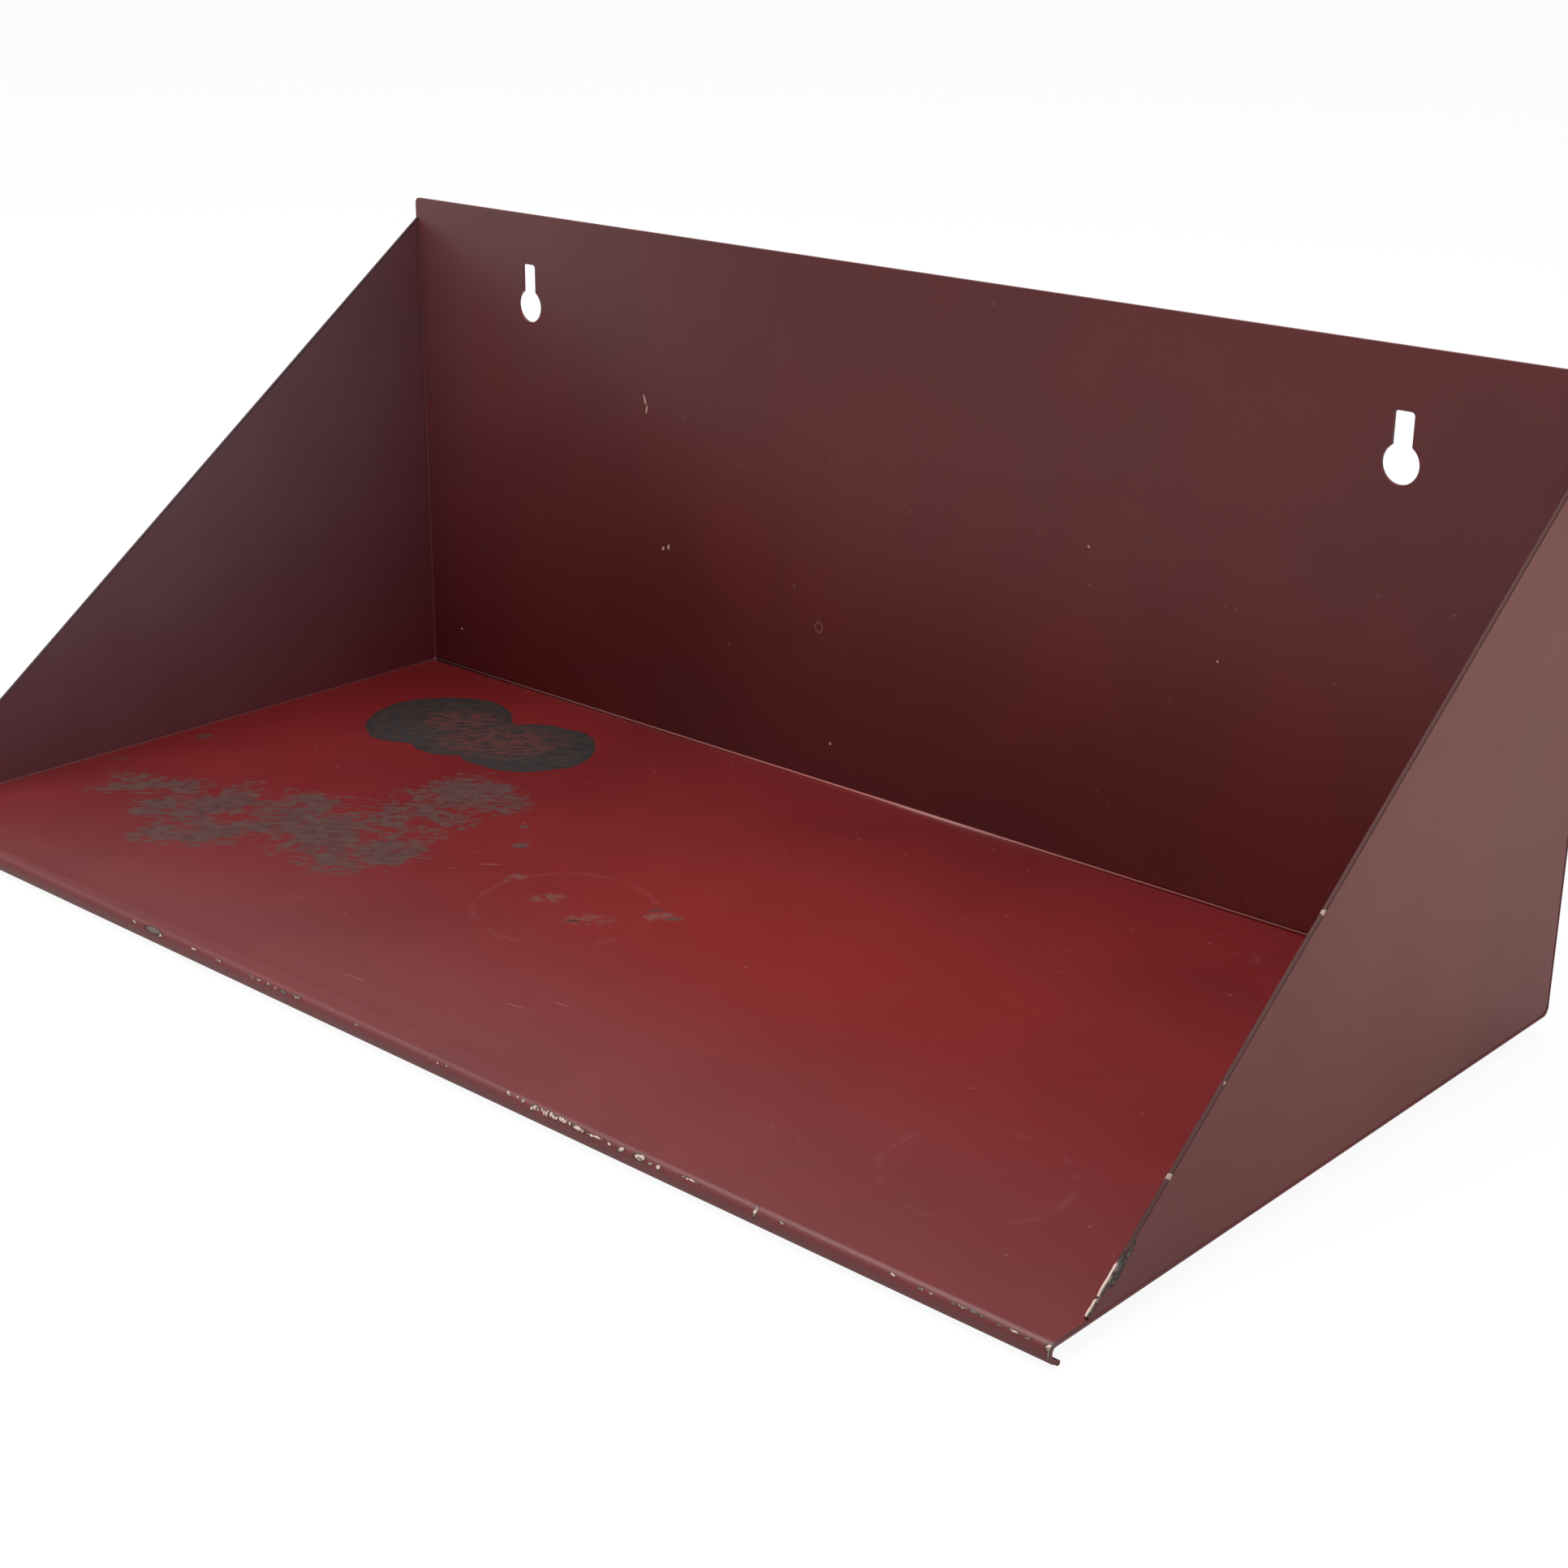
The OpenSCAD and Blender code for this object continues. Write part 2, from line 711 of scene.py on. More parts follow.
class WornSteel(ShaderEffect):
    """Bare, grimy steel under the lacquer, streaked along one direction."""

    name = "worn_steel"
    inputs = (
        ("Place", "Vector", (0, 0, 0)),
        ("Rub turn", "Float", 0.0),
        ("Dark", "Color", (0.02, 0.02, 0.02, 1)),
        ("Pale", "Color", (0.1, 0.1, 0.1, 1)),
    )
    outputs = (("Color", "Color"), ("Streak", "Float"), ("Fleck", "Float"))
    stretch = (0.24, 1.0, 1.0)
    streak_scale = 900.0
    streak_share = 0.55
    fleck_scale = 330.0
    fleck_share = 0.45
    tone_edges = (0.40, 0.60)

    @classmethod
    def wire_up(cls, bench: NodeBench, given: bpy.types.NodeOutputs) -> dict[str, Socket]:
        """Stretches noise along the rubbing direction and colours by it.

        Args:
            bench: Where the nodes go.
            given: The group's inputs.

        Returns:
            What each output gives, by name.
        """
        turned = bench.place("ShaderNodeVectorRotate", rotation_type="Z_AXIS")
        bench.feed(turned.inputs["Vector"], given["Place"])
        bench.feed(turned.inputs["Angle"], bench.math("MULTIPLY", given["Rub turn"], -1.0))
        stretched = bench.vector("MULTIPLY", turned.outputs[0], cls.stretch)
        streak = bench.noise(stretched, cls.streak_scale, 2.0, 0.6)
        fleck = bench.noise(turned.outputs[0], cls.fleck_scale, 3.0, 0.7)
        streaked = bench.math("MULTIPLY", streak, cls.streak_share)
        total = bench.math("MULTIPLY_ADD", fleck, cls.fleck_share, streaked)
        color = bench.blend(bench.ease(total, *cls.tone_edges), given["Dark"], given["Pale"])
        return {"Color": color, "Streak": streak, "Fleck": fleck}


class PaintedLightFade(ShaderEffect):
    """Mask of a soft patch of painted light or shade, which fades out from the middle of an oval; each use
    paints one.
    """

    name = "chalk_bloom"
    inputs = (
        ("Place", "Vector", (0, 0, 0)),
        ("Middle", "Vector", (0, 0, 0)),
        ("Half size", "Vector", (0.1, 0.1, 0.1)),
        ("Amount", "Float", 0.5),
    )
    outputs = (("Mask", "Float"),)
    mottle_scale = 26.0
    mottle_depth = 0.5

    @classmethod
    def wire_up(cls, bench: NodeBench, given: bpy.types.NodeOutputs) -> dict[str, Socket]:
        """Fades the painted patch by distance and mottles it.

        Args:
            bench: Where the nodes go.
            given: The group's inputs.

        Returns:
            What each output gives, by name.
        """
        offset = bench.vector("SUBTRACT", given["Place"], given["Middle"])
        reach = bench.vector("LENGTH", bench.vector("DIVIDE", offset, given["Half size"]))
        mottle = bench.noise(given["Place"], cls.mottle_scale, 2.0, 0.6)
        uneven = bench.math("MULTIPLY_ADD", mottle, cls.mottle_depth, 1.0 - cls.mottle_depth / 2)
        painted_patch = bench.math("MULTIPLY", bench.ease(reach, 1.0, 0.0), uneven)
        return {"Mask": bench.math("MULTIPLY", painted_patch, given["Amount"], clamp=True)}


@dataclass(frozen=True)
class Speckle:
    """Noise that is cut off softly into specks.

    Args:
        scale: Scale of the noise.
        detail: Detail of the noise.
        start: Value of the noise where a speck begins.
        stop: Value where it is full.
    """

    scale: float
    detail: float
    start: float
    stop: float

    def mask(self, bench: NodeBench, place: Socket) -> Socket:
        """Places the specks' mask."""
        return bench.ease(bench.noise(place, self.scale, self.detail), self.start, self.stop)


# ---------------------------------------------------------------- marks


@dataclass(frozen=True)
class Mark:
    """One oval mark on a flat face.

    Args:
        at_mm: Its middle, in the face's own pair of coordinates.
        size_mm: Its full length and width.
        turn: Angle of its length from the face's first axis, in degrees.
    """

    at_mm: tuple[float, float]
    size_mm: tuple[float, float]
    turn: float = 0.0

    def reach(self, bench: NodeBench, place: Socket) -> Socket:
        """Places the mark's reach, which is below 1 inside the mark.

        Args:
            bench: Where the nodes go.
            place: The face's coordinates.

        Returns:
            The reach.
        """
        half = [s * MM / 2 for s in self.size_mm]
        node = bench.group(
            OvalReach.tree(), place=place,
            middle=(self.at_mm[0] * MM, self.at_mm[1] * MM, 0.0),
            half_size=(half[0], half[1], 1.0), turn=(0.0, 0.0, math.radians(self.turn)),
        )
        return node.outputs[0]

    def ring(self, bench: NodeBench, place: Socket, line_mm: float) -> Socket:
        """Masks a thin ring along the mark's outline, line_mm wide and full in its middle third.

        Args:
            bench: Where the nodes go.
            place: The face's coordinates.
            line_mm: Width of the line.

        Returns:
            The mask.
        """
        edge = line_mm / self.size_mm[1]
        off = bench.math("ABSOLUTE", bench.math("SUBTRACT", self.reach(bench, place), 1.0))
        return bench.ease(off, edge, edge * 0.3)


def chips(start_mm: float, stop_mm: float, gap_mm: float, low_mm: float, lean: float,
          size_mm: tuple[float, float], seed: int) -> list[Mark]:
    """Strews short chips along the front fold.

    Args:
        start_mm: Where the row starts along X.
        stop_mm: Where it stops.
        gap_mm: Distance between chips.
        low_mm: How far down the fold they lie.
        lean: Angle of a chip's length from X, in degrees.
        size_mm: Length and width of a typical chip.
        seed: Seed of the row's own variation.

    Returns:
        The chips as marks.
    """
    chance = random.Random(seed)
    marks = []
    at = start_mm
    while at < stop_mm:
        grow = chance.uniform(0.6, 1.2)
        stray = chance.uniform(-0.35, 0.35)
        twist = chance.uniform(-25, 25)
        marks.append(Mark((at, low_mm + stray), (size_mm[0] * grow, size_mm[1] * grow), lean + twist))
        at += gap_mm * chance.uniform(0.7, 1.4)
    return marks


@dataclass(frozen=True)
class StripWear:
    """Where the strip is worn, scratched and chipped.

    Args:
        stain: Discs of the dark stain that two round feet left on the surface.
        stain_heart: Where that stain is worn brown.
        stain_pits: Small black pits in that stain.
        rubbed: Ovals that make up the ragged, rubbed area in front of the stain.
        spots: Small grey spots beside it.
        smudges: Faint brownish smudges round the spots.
        spot_core: Small dark core of the largest smudge.
        rings: Faint rings on the surface.
        scratches: Faint pale scratches on the surface.
        fold_grey: Chips on the front fold that are worn to grey steel.
        fold_pale: Chips on the front fold that show pale primer.
        back_flecks: Pale flecks on the back.
        back_ring: Small ring on the back.
        back_scratches: Fine dark scratches on the back.
        rub_turn: Direction of the rubbing, in degrees from X.
    """

    stain: tuple[Mark, ...] = (
        Mark((-150, -42), (45, 47), 15),
        Mark((-112, -40), (44, 42), 0),
        Mark((-134, -46), (38, 36), -30),
    )
    stain_heart: tuple[Mark, ...] = (
        Mark((-146, -38), (30, 24), 42),
        Mark((-122, -42), (44, 32), 35),
    )
    stain_pits: tuple[Mark, ...] = (
        Mark((-122, -37), (2.6, 1.8), 42),
        Mark((-127, -39), (1.6, 1.0), 42),
        Mark((-136, -36), (5.0, 0.9), 42),
        Mark((-113, -50), (6.0, 0.9), 42),
    )
    rubbed: tuple[Mark, ...] = (
        Mark((-168, -139), (32, 22), 10),
        Mark((-146, -134), (44, 34), 42),
        Mark((-128, -150), (34, 26), 30),
        Mark((-116, -122), (44, 42), 0),
        Mark((-90, -124), (48, 46), 60),
        Mark((-93, -84), (40, 44), 20),
    )
    spots: tuple[Mark, ...] = (
        Mark((4, -101), (4.6, 2.4), 42),
        Mark((11, -103), (4.2, 1.6), 42),
        Mark((-63, -84), (7, 4.4), 60),
        Mark((-54, -95), (6, 3.4), 60),
        Mark((-191, -128), (11, 3), 42),
        Mark((-189, -100), (8, 3), 42),
    )
    smudges: tuple[Mark, ...] = (
        Mark((-22, -115), (13, 8), 42),
        Mark((-38, -112), (10, 6), 60),
        Mark((8, -104), (16, 8), 42),
        Mark((-4, -118), (17, 9), 42),
        Mark((-4, -118), (13, 5), 42),
    )
    spot_core: Mark = Mark((-6.5, -121), (4.5, 1.5), 42)
    rings: tuple[Mark, ...] = (
        Mark((-14, -117), (48, 46), 0),
        Mark((150, -155), (42, 40), 0),
        Mark((131, -23), (6, 5), 0),
    )
    scratches: tuple[Mark, ...] = (
        Mark((29, -157), (11, 0.5), 8),
        Mark((21, -165), (14, 0.5), 12),
        Mark((-31, -155), (12, 0.5), 30),
        Mark((45, -112), (1.6, 1.2), 0),
        Mark((-5, -104), (2.2, 1.0), 42),
        Mark((-49, -109), (12, 0.6), 42),
        Mark((-57, -120), (9, 0.5), 42),
        Mark((-72, -160), (9, 0.5), 35),
        Mark((96, -170), (8, 0.4), 15),
        Mark((-20, -181), (10, 0.4), 4),
    )
    fold_grey: tuple[Mark, ...] = (
        Mark((-80, 0.1), (6, 1.9), 0),
        *chips(-40, -21, 3.4, 0.1, 0, (2.0, 0.7), 11),
        *chips(177, 184, 2.2, 0.2, 0, (1.6, 0.8), 13),
        *chips(188, 197, 2.6, 0.2, 0, (2.0, 0.8), 14),
    )
    fold_pale: tuple[Mark, ...] = (
        Mark((-88, 0.1), (1.8, 0.8), 10),
        Mark((-76.6, 0.6), (1.3, 1.5), 20),
        Mark((-63, 0.1), (2.4, 0.6), 8),
        Mark((-53, 0.1), (2.6, 0.45), 0),
        *chips(-39, -30, 2.6, 0.2, 15, (1.3, 0.45), 25),
        Mark((-22, 0.1), (2.2, 0.9), -20),
        Mark((0, 0.1), (1.3, 0.5), 0),
        *chips(26, 32, 2.6, 0.0, 35, (1.0, 0.5), 21),
        *chips(52, 58, 2.0, -0.3, 65, (1.9, 0.6), 22),
        *chips(60, 72, 1.05, 0.0, 70, (1.9, 0.75), 23),
        Mark((74.5, 0.2), (4.2, 1.3), 4),
        Mark((79.5, 0.3), (5.0, 0.75), -3),
        Mark((84.0, 0.4), (1.1, 0.8), 20),
        Mark((87.5, 0.5), (1.9, 1.4), -40),
        Mark((93.0, 0.2), (3.0, 1.9), -10),
        Mark((96.4, 0.6), (1.0, 0.8), 30),
        Mark((98.6, 0.5), (1.1, 1.5), 10),
        Mark((107.5, 0.0), (5.0, 0.5), 0),
        Mark((126, 0.3), (0.9, 3.0), 0),
        Mark((133, 0.1), (1.2, 0.7), 0),
        Mark((162, 0.1), (1.4, 0.7), 0),
        *chips(169, 173, 1.8, 0.2, 10, (1.5, 0.6), 24),
        Mark((179, 0.1), (1.7, 0.6), 15),
        Mark((191.5, 0.2), (2.2, 0.6), 10),
        Mark((199.5, 0.2), (1.6, 1.9), 0),
        Mark((199.9, 2.6), (0.5, 4.0), 0),
    )
    back_flecks: tuple[Mark, ...] = (
        Mark((-99.4, -21.5), (3.6, 0.9), 110),
        Mark((-98.6, -24.3), (3.0, 0.8), 75),
        Mark((-92.2, -65.5), (1.6, 1.0), 60),
        Mark((-89.9, -64.6), (1.8, 1.0), 80),
        Mark((-25, -111), (1.0, 0.9), 0),
        Mark((-185, -110), (1.0, 0.7), 0),
        Mark((62, -36), (0.9, 0.8), 0),
        Mark((103, -58), (0.9, 0.7), 0),
    )
    back_ring: Mark = Mark((-30, -77), (2.6, 3.0), 0)
    back_scratches: tuple[Mark, ...] = (
        Mark((-48.7, 8.1), (36, 0.35), 73),
        Mark((-44.5, 22), (10, 0.3), 84),
        Mark((81.5, -29.7), (13, 0.35), 46),
    )
    rub_turn: float = 42.0


# ---------------------------------------------------------------- finishes


@dataclass(frozen=True)
class Palette:
    """Colours of the lacquer and of what shows where it is worn, and the painted sheen, light, highlight and
    shade.
    """

    deep: Colour = tone("631113")
    light: Colour = tone("6d1517")
    # Painted sheen: a pale veil mixed into the colour that stands for reflected light.
    painted_sheen: Colour = tone("7c5c5c")
    # Painted light: the brighter red of a pool of light in the middle of the surface.
    painted_light_pool: Colour = tone("7c1915")
    # Painted shade: the darker red towards the bottom of the back.
    painted_shade: Colour = tone("350a0e")
    # Painted highlight: the pale line along the rear fold.
    painted_fold_highlight: Colour = tone("c07872")
    steel_dark: Colour = tone("120d0e")
    steel_pale: Colour = tone("2c1e1d")
    pit: Colour = tone("0a0606")
    rust: Colour = tone("521c16")
    rubbed_dark: Colour = tone("38181a")
    rubbed_pale: Colour = tone("4a312b")
    chipped: Colour = tone("655a50")
    primer: Colour = tone("d2b6aa")
    outline: Colour = tone("2a1414")
    raw_edge: Colour = tone("2c2322")
    lip_end: Colour = tone("3c3b36")
    dust: Colour = tone("8a6a66")


@dataclass(frozen=True)
class Gloss:
    """How the lacquer shines.

    Args:
        roughness: Roughness of the lacquer itself.
        worn_roughness: Roughness where steel or primer shows.
        coat: Weight of the thin glossier skin.
        coat_roughness: Roughness of that skin.
        index: Index of refraction of the lacquer.
    """

    roughness: float = 0.38
    worn_roughness: float = 0.62
    coat: float = 0.25
    coat_roughness: float = 0.28
    index: float = 1.5


@dataclass(frozen=True)
class PaintedLightPatch:
    """Where a soft patch of painted light lies on the lacquer: a pool of light, a pale sheen or shade, one
    for each use.

    Args:
        middle_mm: Its middle.
        half_mm: Its half size along each axis.
        amount: How strongly it is painted, from 0 to 1.
    """

    middle_mm: tuple[float, float, float]
    half_mm: tuple[float, float, float]
    amount: float

    def mask(self, bench: NodeBench, place: Socket) -> Socket:
        """Places the patch's mask.

        Args:
            bench: Where the nodes go.
            place: The Object coordinates.

        Returns:
            The mask.
        """
        node = bench.group(
            PaintedLightFade.tree(), place=place, middle=tuple(v * MM for v in self.middle_mm),
            half_size=tuple(v * MM for v in self.half_mm), amount=self.amount,
        )
        return node.outputs[0]


@dataclass(frozen=True)
class PlateWear:
    """Where an end plate is chipped and dented, and where sheen and shade are painted on it.

    Args:
        painted_sheen: Painted sheen on the plate, a pale veil that stands for reflected light.
        palette: The plate's colours.
        flakes: Primer flakes on the outer face beside the slope.
        nicks: Small chips up the slope.
        dented: Length of slope, from the tip, that is dented.
        dent: Depth of the deepest dent.
        slope_shade_width: Width of the painted shade along the slope's edge.
        slope_shade_stray: How far that shade's edge strays.
    """

    painted_sheen: PaintedLightPatch
    palette: Palette
    flakes: tuple[Mark, ...] = ()
    nicks: tuple[Mark, ...] = ()
    dented: float = 6 * MM
    dent: float = 0.35 * MM
    slope_shade_width: float = 0.35 * MM
    slope_shade_stray: float = 0.5 * MM


class LacquerFinish:
    """Base of the lacquer finishes: tone, skin and gloss, with layers laid over them.

    Args:
        name: Name of the material.
        sizes: The shelf's sizes.
        palette: Its colours.
    """

    specks = Speckle(620.0, 0.0, 0.86, 0.9)
    far_reach = 9.0

    def __init__(self, name: str, sizes: ShelfSizes, palette: Palette = Palette()) -> None:
        """Makes the empty material and reads the place on the piece."""
        self.sizes = sizes
        self.palette = palette
        self.gloss = Gloss()
        self.material = bpy.data.materials.new(name)
        self.bench = NodeBench.clear(self.material)
        self.place = self.bench.place("ShaderNodeTexCoord").outputs["Object"]
        split = self.bench.place("ShaderNodeSeparateXYZ")
        self.bench.feed(split.inputs[0], self.place)
        self.x, self.y, self.z = split.outputs
        self.color: Paint = palette.deep
        self.rough: Value = self.gloss.roughness
        self.height: Value = 0.0

    def build(self) -> bpy.types.Material:
        """Builds the material's nodes.

        Returns:
            The material.
        """
        self.lay_lacquer()
        self.lay_wear()
        self.close()
        return self.material

    def lay_lacquer(self) -> None:
        """Lays the plain lacquer."""
        tone_node = self.bench.group(
            LacquerTone.tree(), place=self.place, deep=self.palette.deep, light=self.palette.light,
            roughness=self.gloss.roughness,
        )
        skin = self.bench.group(LacquerSkin.tree(), place=self.place)
        self.color = tone_node.outputs["Color"]
        self.rough = tone_node.outputs["Roughness"]
        self.height = skin.outputs["Height"]
        self.cover(self.specks.mask(self.bench, self.place), self.palette.dust, share=0.3)

    def lay_wear(self) -> None:
        """Lays this finish's own wear over the lacquer; the plain one has none."""

    def cover(self, mask: Value, color: Paint, roughness: Optional[float] = None, step: float = 0.0,
              share: float = 1.0) -> None:
        """Lays one layer over what is there.

        Args:
            mask: Where it lies, from 0 to 1.
            color: Its colour.
            roughness: Its roughness, or None to keep what is there.
            step: How much lower it lies than the lacquer.
            share: How much of what is there it hides at the most.
        """
        bench = self.bench
        if share < 1.0:
            mask = bench.math("MULTIPLY", mask, share)
        self.color = bench.blend(mask, self.color, color)
        if roughness is not None:
            away = bench.math("SUBTRACT", roughness, self.rough)
            self.rough = bench.math("MULTIPLY_ADD", mask, away, self.rough)
        if step:
            self.height = bench.math("MULTIPLY_ADD", mask, -step, self.height)

    def gate(self, *tests: Socket) -> Socket:
        """Multiplies several masks.

        Args:
            tests: The masks.

        Returns:
            Their product.
        """
        result = tests[0]
        for test in tests[1:]:
            result = self.bench.math("MULTIPLY", result, test)
        return result

    def above(self, value: Socket, limit: float, soft: float = 0.05 * MM) -> Socket:
        """Masks where a number is above a limit."""
        return self.bench.ease(value, limit - soft, limit + soft)

    def below(self, value: Socket, limit: float, soft: float = 0.05 * MM) -> Socket:
        """Masks where a number is below a limit."""
        return self.bench.ease(value, limit + soft, limit - soft)

    def coordinates(self, face: Face, warp_mm: float, warp_scale: float) -> Socket:
        """Gives a face's flat coordinates, roughened by noise.

        Args:
            face: The face.
            warp_mm: How far the noise moves a point.
            warp_scale: Scale of the noise.

        Returns:
            The coordinates as a vector whose third part is 0.
        """
        bench = self.bench
        pairs = {Face.SURFACE: (self.x, self.y), Face.BACK: (self.x, self.z), Face.PLATE: (self.y, self.z)}
        if face is Face.FOLD:
            middle = self.sizes.fold_y + self.sizes.surface - self.sizes.bend_out
            pairs[face] = (self.x, bench.math("SUBTRACT", middle, bench.math("ADD", self.y, self.z)))
        joined = bench.place("ShaderNodeCombineXYZ")
        for socket, value in zip(joined.inputs, pairs[face]):
            bench.feed(socket, value)
        noise = bench.noise(self.place, warp_scale, 1.0, 0.6, as_vector=True)
        shift = bench.vector("SUBTRACT", noise, (0.5, 0.5, 0.5))
        shift = bench.vector("MULTIPLY", shift, (2 * warp_mm * MM, 2 * warp_mm * MM, 0.0))
        return bench.vector("ADD", joined.outputs[0], shift)

    def field(self, marks: Iterable[Mark], place: Socket) -> Socket:
        """Gives how far inside the nearest of several marks a point is, negative outside all.

        Args:
            marks: The marks.
            place: The face's coordinates.

        Returns:
            The distance as a share of the mark, 1 at its middle and 0 on its outline.
        """
        reach: Value = self.far_reach
        for mark in marks:
            reach = self.bench.math("MINIMUM", reach, mark.reach(self.bench, place))
        return self.bench.math("SUBTRACT", 1.0, reach)

    def inside(self, marks: Iterable[Mark], place: Socket, soft: float, start: float = 0.0) -> Socket:
        """Masks the inside of several marks, full where the field reaches soft."""
        return self.bench.ease(self.field(marks, place), start, soft)

    def close(self) -> None:
        """Joins the layers to the shader."""
        bench = self.bench
        bump = bench.place("ShaderNodeBump")
        bump.inputs["Strength"].default_value = 1.0
        bump.inputs["Distance"].default_value = 1.0
        bench.feed(bump.inputs["Height"], self.height)
        shader = bench.place("ShaderNodeBsdfPrincipled")
        bench.feed(shader.inputs["Base Color"], self.color)
        bench.feed(shader.inputs["Roughness"], self.rough)
        bench.feed(shader.inputs["Normal"], bump.outputs[0])
        shader.inputs["IOR"].default_value = self.gloss.index
        shader.inputs["Coat Weight"].default_value = self.gloss.coat
        shader.inputs["Coat Roughness"].default_value = self.gloss.coat_roughness
        output = bench.place("ShaderNodeOutputMaterial")
        bench.feed(output.inputs["Surface"], shader.outputs[0])


class StripFinish(LacquerFinish):
    """Base of the strip's own finishes, which share its wear and what crosses its folds.

    A painted highlight lies along the rear fold from highlight_from to highlight_to, as shares of the bend.
    """

    wear = StripWear()
    # Painted sheen: a pale veil over the surface towards its front edge.
    painted_front_sheen = PaintedLightPatch((0.0, -195.0, -123.5), (420.0, 95.0, 60.0), 0.15)
    highlight_from = 0.28
    highlight_to = 0.62

    def lay_painted_front_sheen(self) -> None:
        """Lays the painted sheen, a pale veil for reflected light, towards the surface's front edge."""
        self.cover(self.painted_front_sheen.mask(self.bench, self.place), self.palette.painted_sheen)

    def lay_painted_fold_highlight(self) -> None:
        """Lays the painted highlight, a pale line along the rear fold."""
        bend = self.sizes.bend
        low = self.above(self.z, self.sizes.surface + self.highlight_from * bend, 0.08 * bend)
        high = self.below(self.z, self.sizes.surface + self.highlight_to * bend, 0.10 * bend)
        self.cover(self.gate(low, high), self.palette.painted_fold_highlight, self.gloss.worn_roughness)


class SurfaceFinish(StripFinish):
    """Lacquer of the shelf surface, stained and rubbed through in patches, with a painted pool of light in
    its middle.
    """

    # Painted light: a broad, brighter red patch in the middle of the surface.
    painted_light_pool = PaintedLightPatch((45.0, -100.0, -123.5), (150.0, 85.0, 60.0), 0.85)
    breaks = Speckle(160.0, 1.0, 0.42, 0.6)
    rags = Speckle(420.0, 2.0, 0.36, 0.56)
    ring_line_mm = 2.4
    stain_step = 0.03 * MM
    island_scale = 75.0
    island_sway = 2.0
    fleck_sway = 1.1
    streak_sway = 1.5
    area_slope = 0.9
    area_limit = 0.36
    spot_slope = 0.6

    def lay_wear(self) -> None:
        """Lays the painted pool of light, the painted sheen, the faint marks, the rubbed area, the stain and
        the painted fold highlight.
        """
        self.cover(self.painted_light_pool.mask(self.bench, self.place), self.palette.painted_light_pool)
        self.lay_painted_front_sheen()
        self.lay_faint_marks()
        self.lay_rubbed_area()
        self.lay_stain()
        self.lay_painted_fold_highlight()

    def lay_faint_marks(self) -> None:
        """Lays the rings, the smudges and the scratches on the surface."""
        bench = self.bench
        wear = self.wear
        place = self.coordinates(Face.SURFACE, warp_mm=0.5, warp_scale=120.0)
        ragged_place = self.coordinates(Face.SURFACE, warp_mm=2.5, warp_scale=130.0)
        broken = self.breaks.mask(bench, self.place)
        rings = bench.highest(mark.ring(bench, place, self.ring_line_mm) for mark in wear.rings)
        self.cover(self.gate(rings, broken), self.palette.dust, roughness=0.5, share=0.07)
        smudged = self.gate(self.inside(wear.smudges, ragged_place, 0.8), self.rags.mask(bench, self.place))
        self.cover(smudged, self.palette.chipped, roughness=0.5, share=0.42)
        core = self.inside((wear.spot_core,), place, 0.4)
        self.cover(core, self.palette.pit, roughness=0.5, share=0.8)
        lines = self.gate(self.inside(wear.scratches, place, 0.4), broken)
        self.cover(lines, self.palette.dust, roughness=0.5, share=0.5)

    def steel(self, dark: Colour, pale: Colour) -> bpy.types.Node:
        """Places bare steel, streaked along the direction of the rubbing."""
        turn = math.radians(self.wear.rub_turn)
        return self.bench.group(WornSteel.tree(), place=self.place, rub_turn=turn, dark=dark, pale=pale)

    def swayed(self, total: Socket, noise: Socket, sway: float) -> Socket:
        """Moves a number up and down by a noise, over a range of sway."""
        return self.bench.math("MULTIPLY_ADD", self.bench.math("SUBTRACT", noise, 0.5), sway, total)

    def lay_rubbed_area(self) -> None:
        """Lays the ragged area where the lacquer is rubbed through."""
        bench = self.bench
        steel = self.steel(self.palette.rubbed_dark, self.palette.rubbed_pale)
        place = self.coordinates(Face.SURFACE, warp_mm=5.0, warp_scale=60.0)
        area = bench.math("MULTIPLY", self.field(self.wear.rubbed, place), self.area_slope)
        spots = bench.math("MULTIPLY", self.field(self.wear.spots, place), self.spot_slope)
        total = bench.math("MAXIMUM", bench.math("MINIMUM", area, self.area_limit), spots)
        islands = bench.noise(self.place, self.island_scale, 3.0, 0.62)
        broken = self.swayed(total, islands, self.island_sway)
        broken = self.swayed(broken, steel.outputs["Fleck"], self.fleck_sway)
        broken = self.swayed(broken, steel.outputs["Streak"], self.streak_sway)
        mask = self.gate(bench.ease(broken, 0.02, 0.36), bench.ease(total, -0.25, 0.05))
        self.cover(mask, steel.outputs["Color"], self.gloss.worn_roughness, share=0.9)

    def lay_stain(self) -> None:
        """Lays the dark stain with its brown, streaky heart and its darker outline."""
        bench = self.bench
        steel = self.steel(self.palette.steel_dark, self.palette.steel_pale)
        streak = steel.outputs["Streak"]
        place = self.coordinates(Face.SURFACE, warp_mm=2.6, warp_scale=70.0)
        field = self.field(self.wear.stain, place)
        heart = self.inside(self.wear.stain_heart, place, 0.5, start=-0.1)
        color: Paint = steel.outputs["Color"]
        for mask, share, paint in (
            (self.gate(heart, bench.ease(streak, 0.44, 0.56)), 0.9, self.palette.rust),
            (bench.ease(streak, 0.36, 0.28), 0.8, self.palette.pit),
            (bench.ease(field, 0.09, 0.02), 0.75, self.palette.pit),
            (self.inside(self.wear.stain_pits, place, 0.3), 1.0, self.palette.pit),
        ):
            color = bench.blend(bench.math("MULTIPLY", mask, share), color, paint)
        self.cover(bench.ease(field, -0.01, 0.03), color, self.gloss.worn_roughness, self.stain_step)


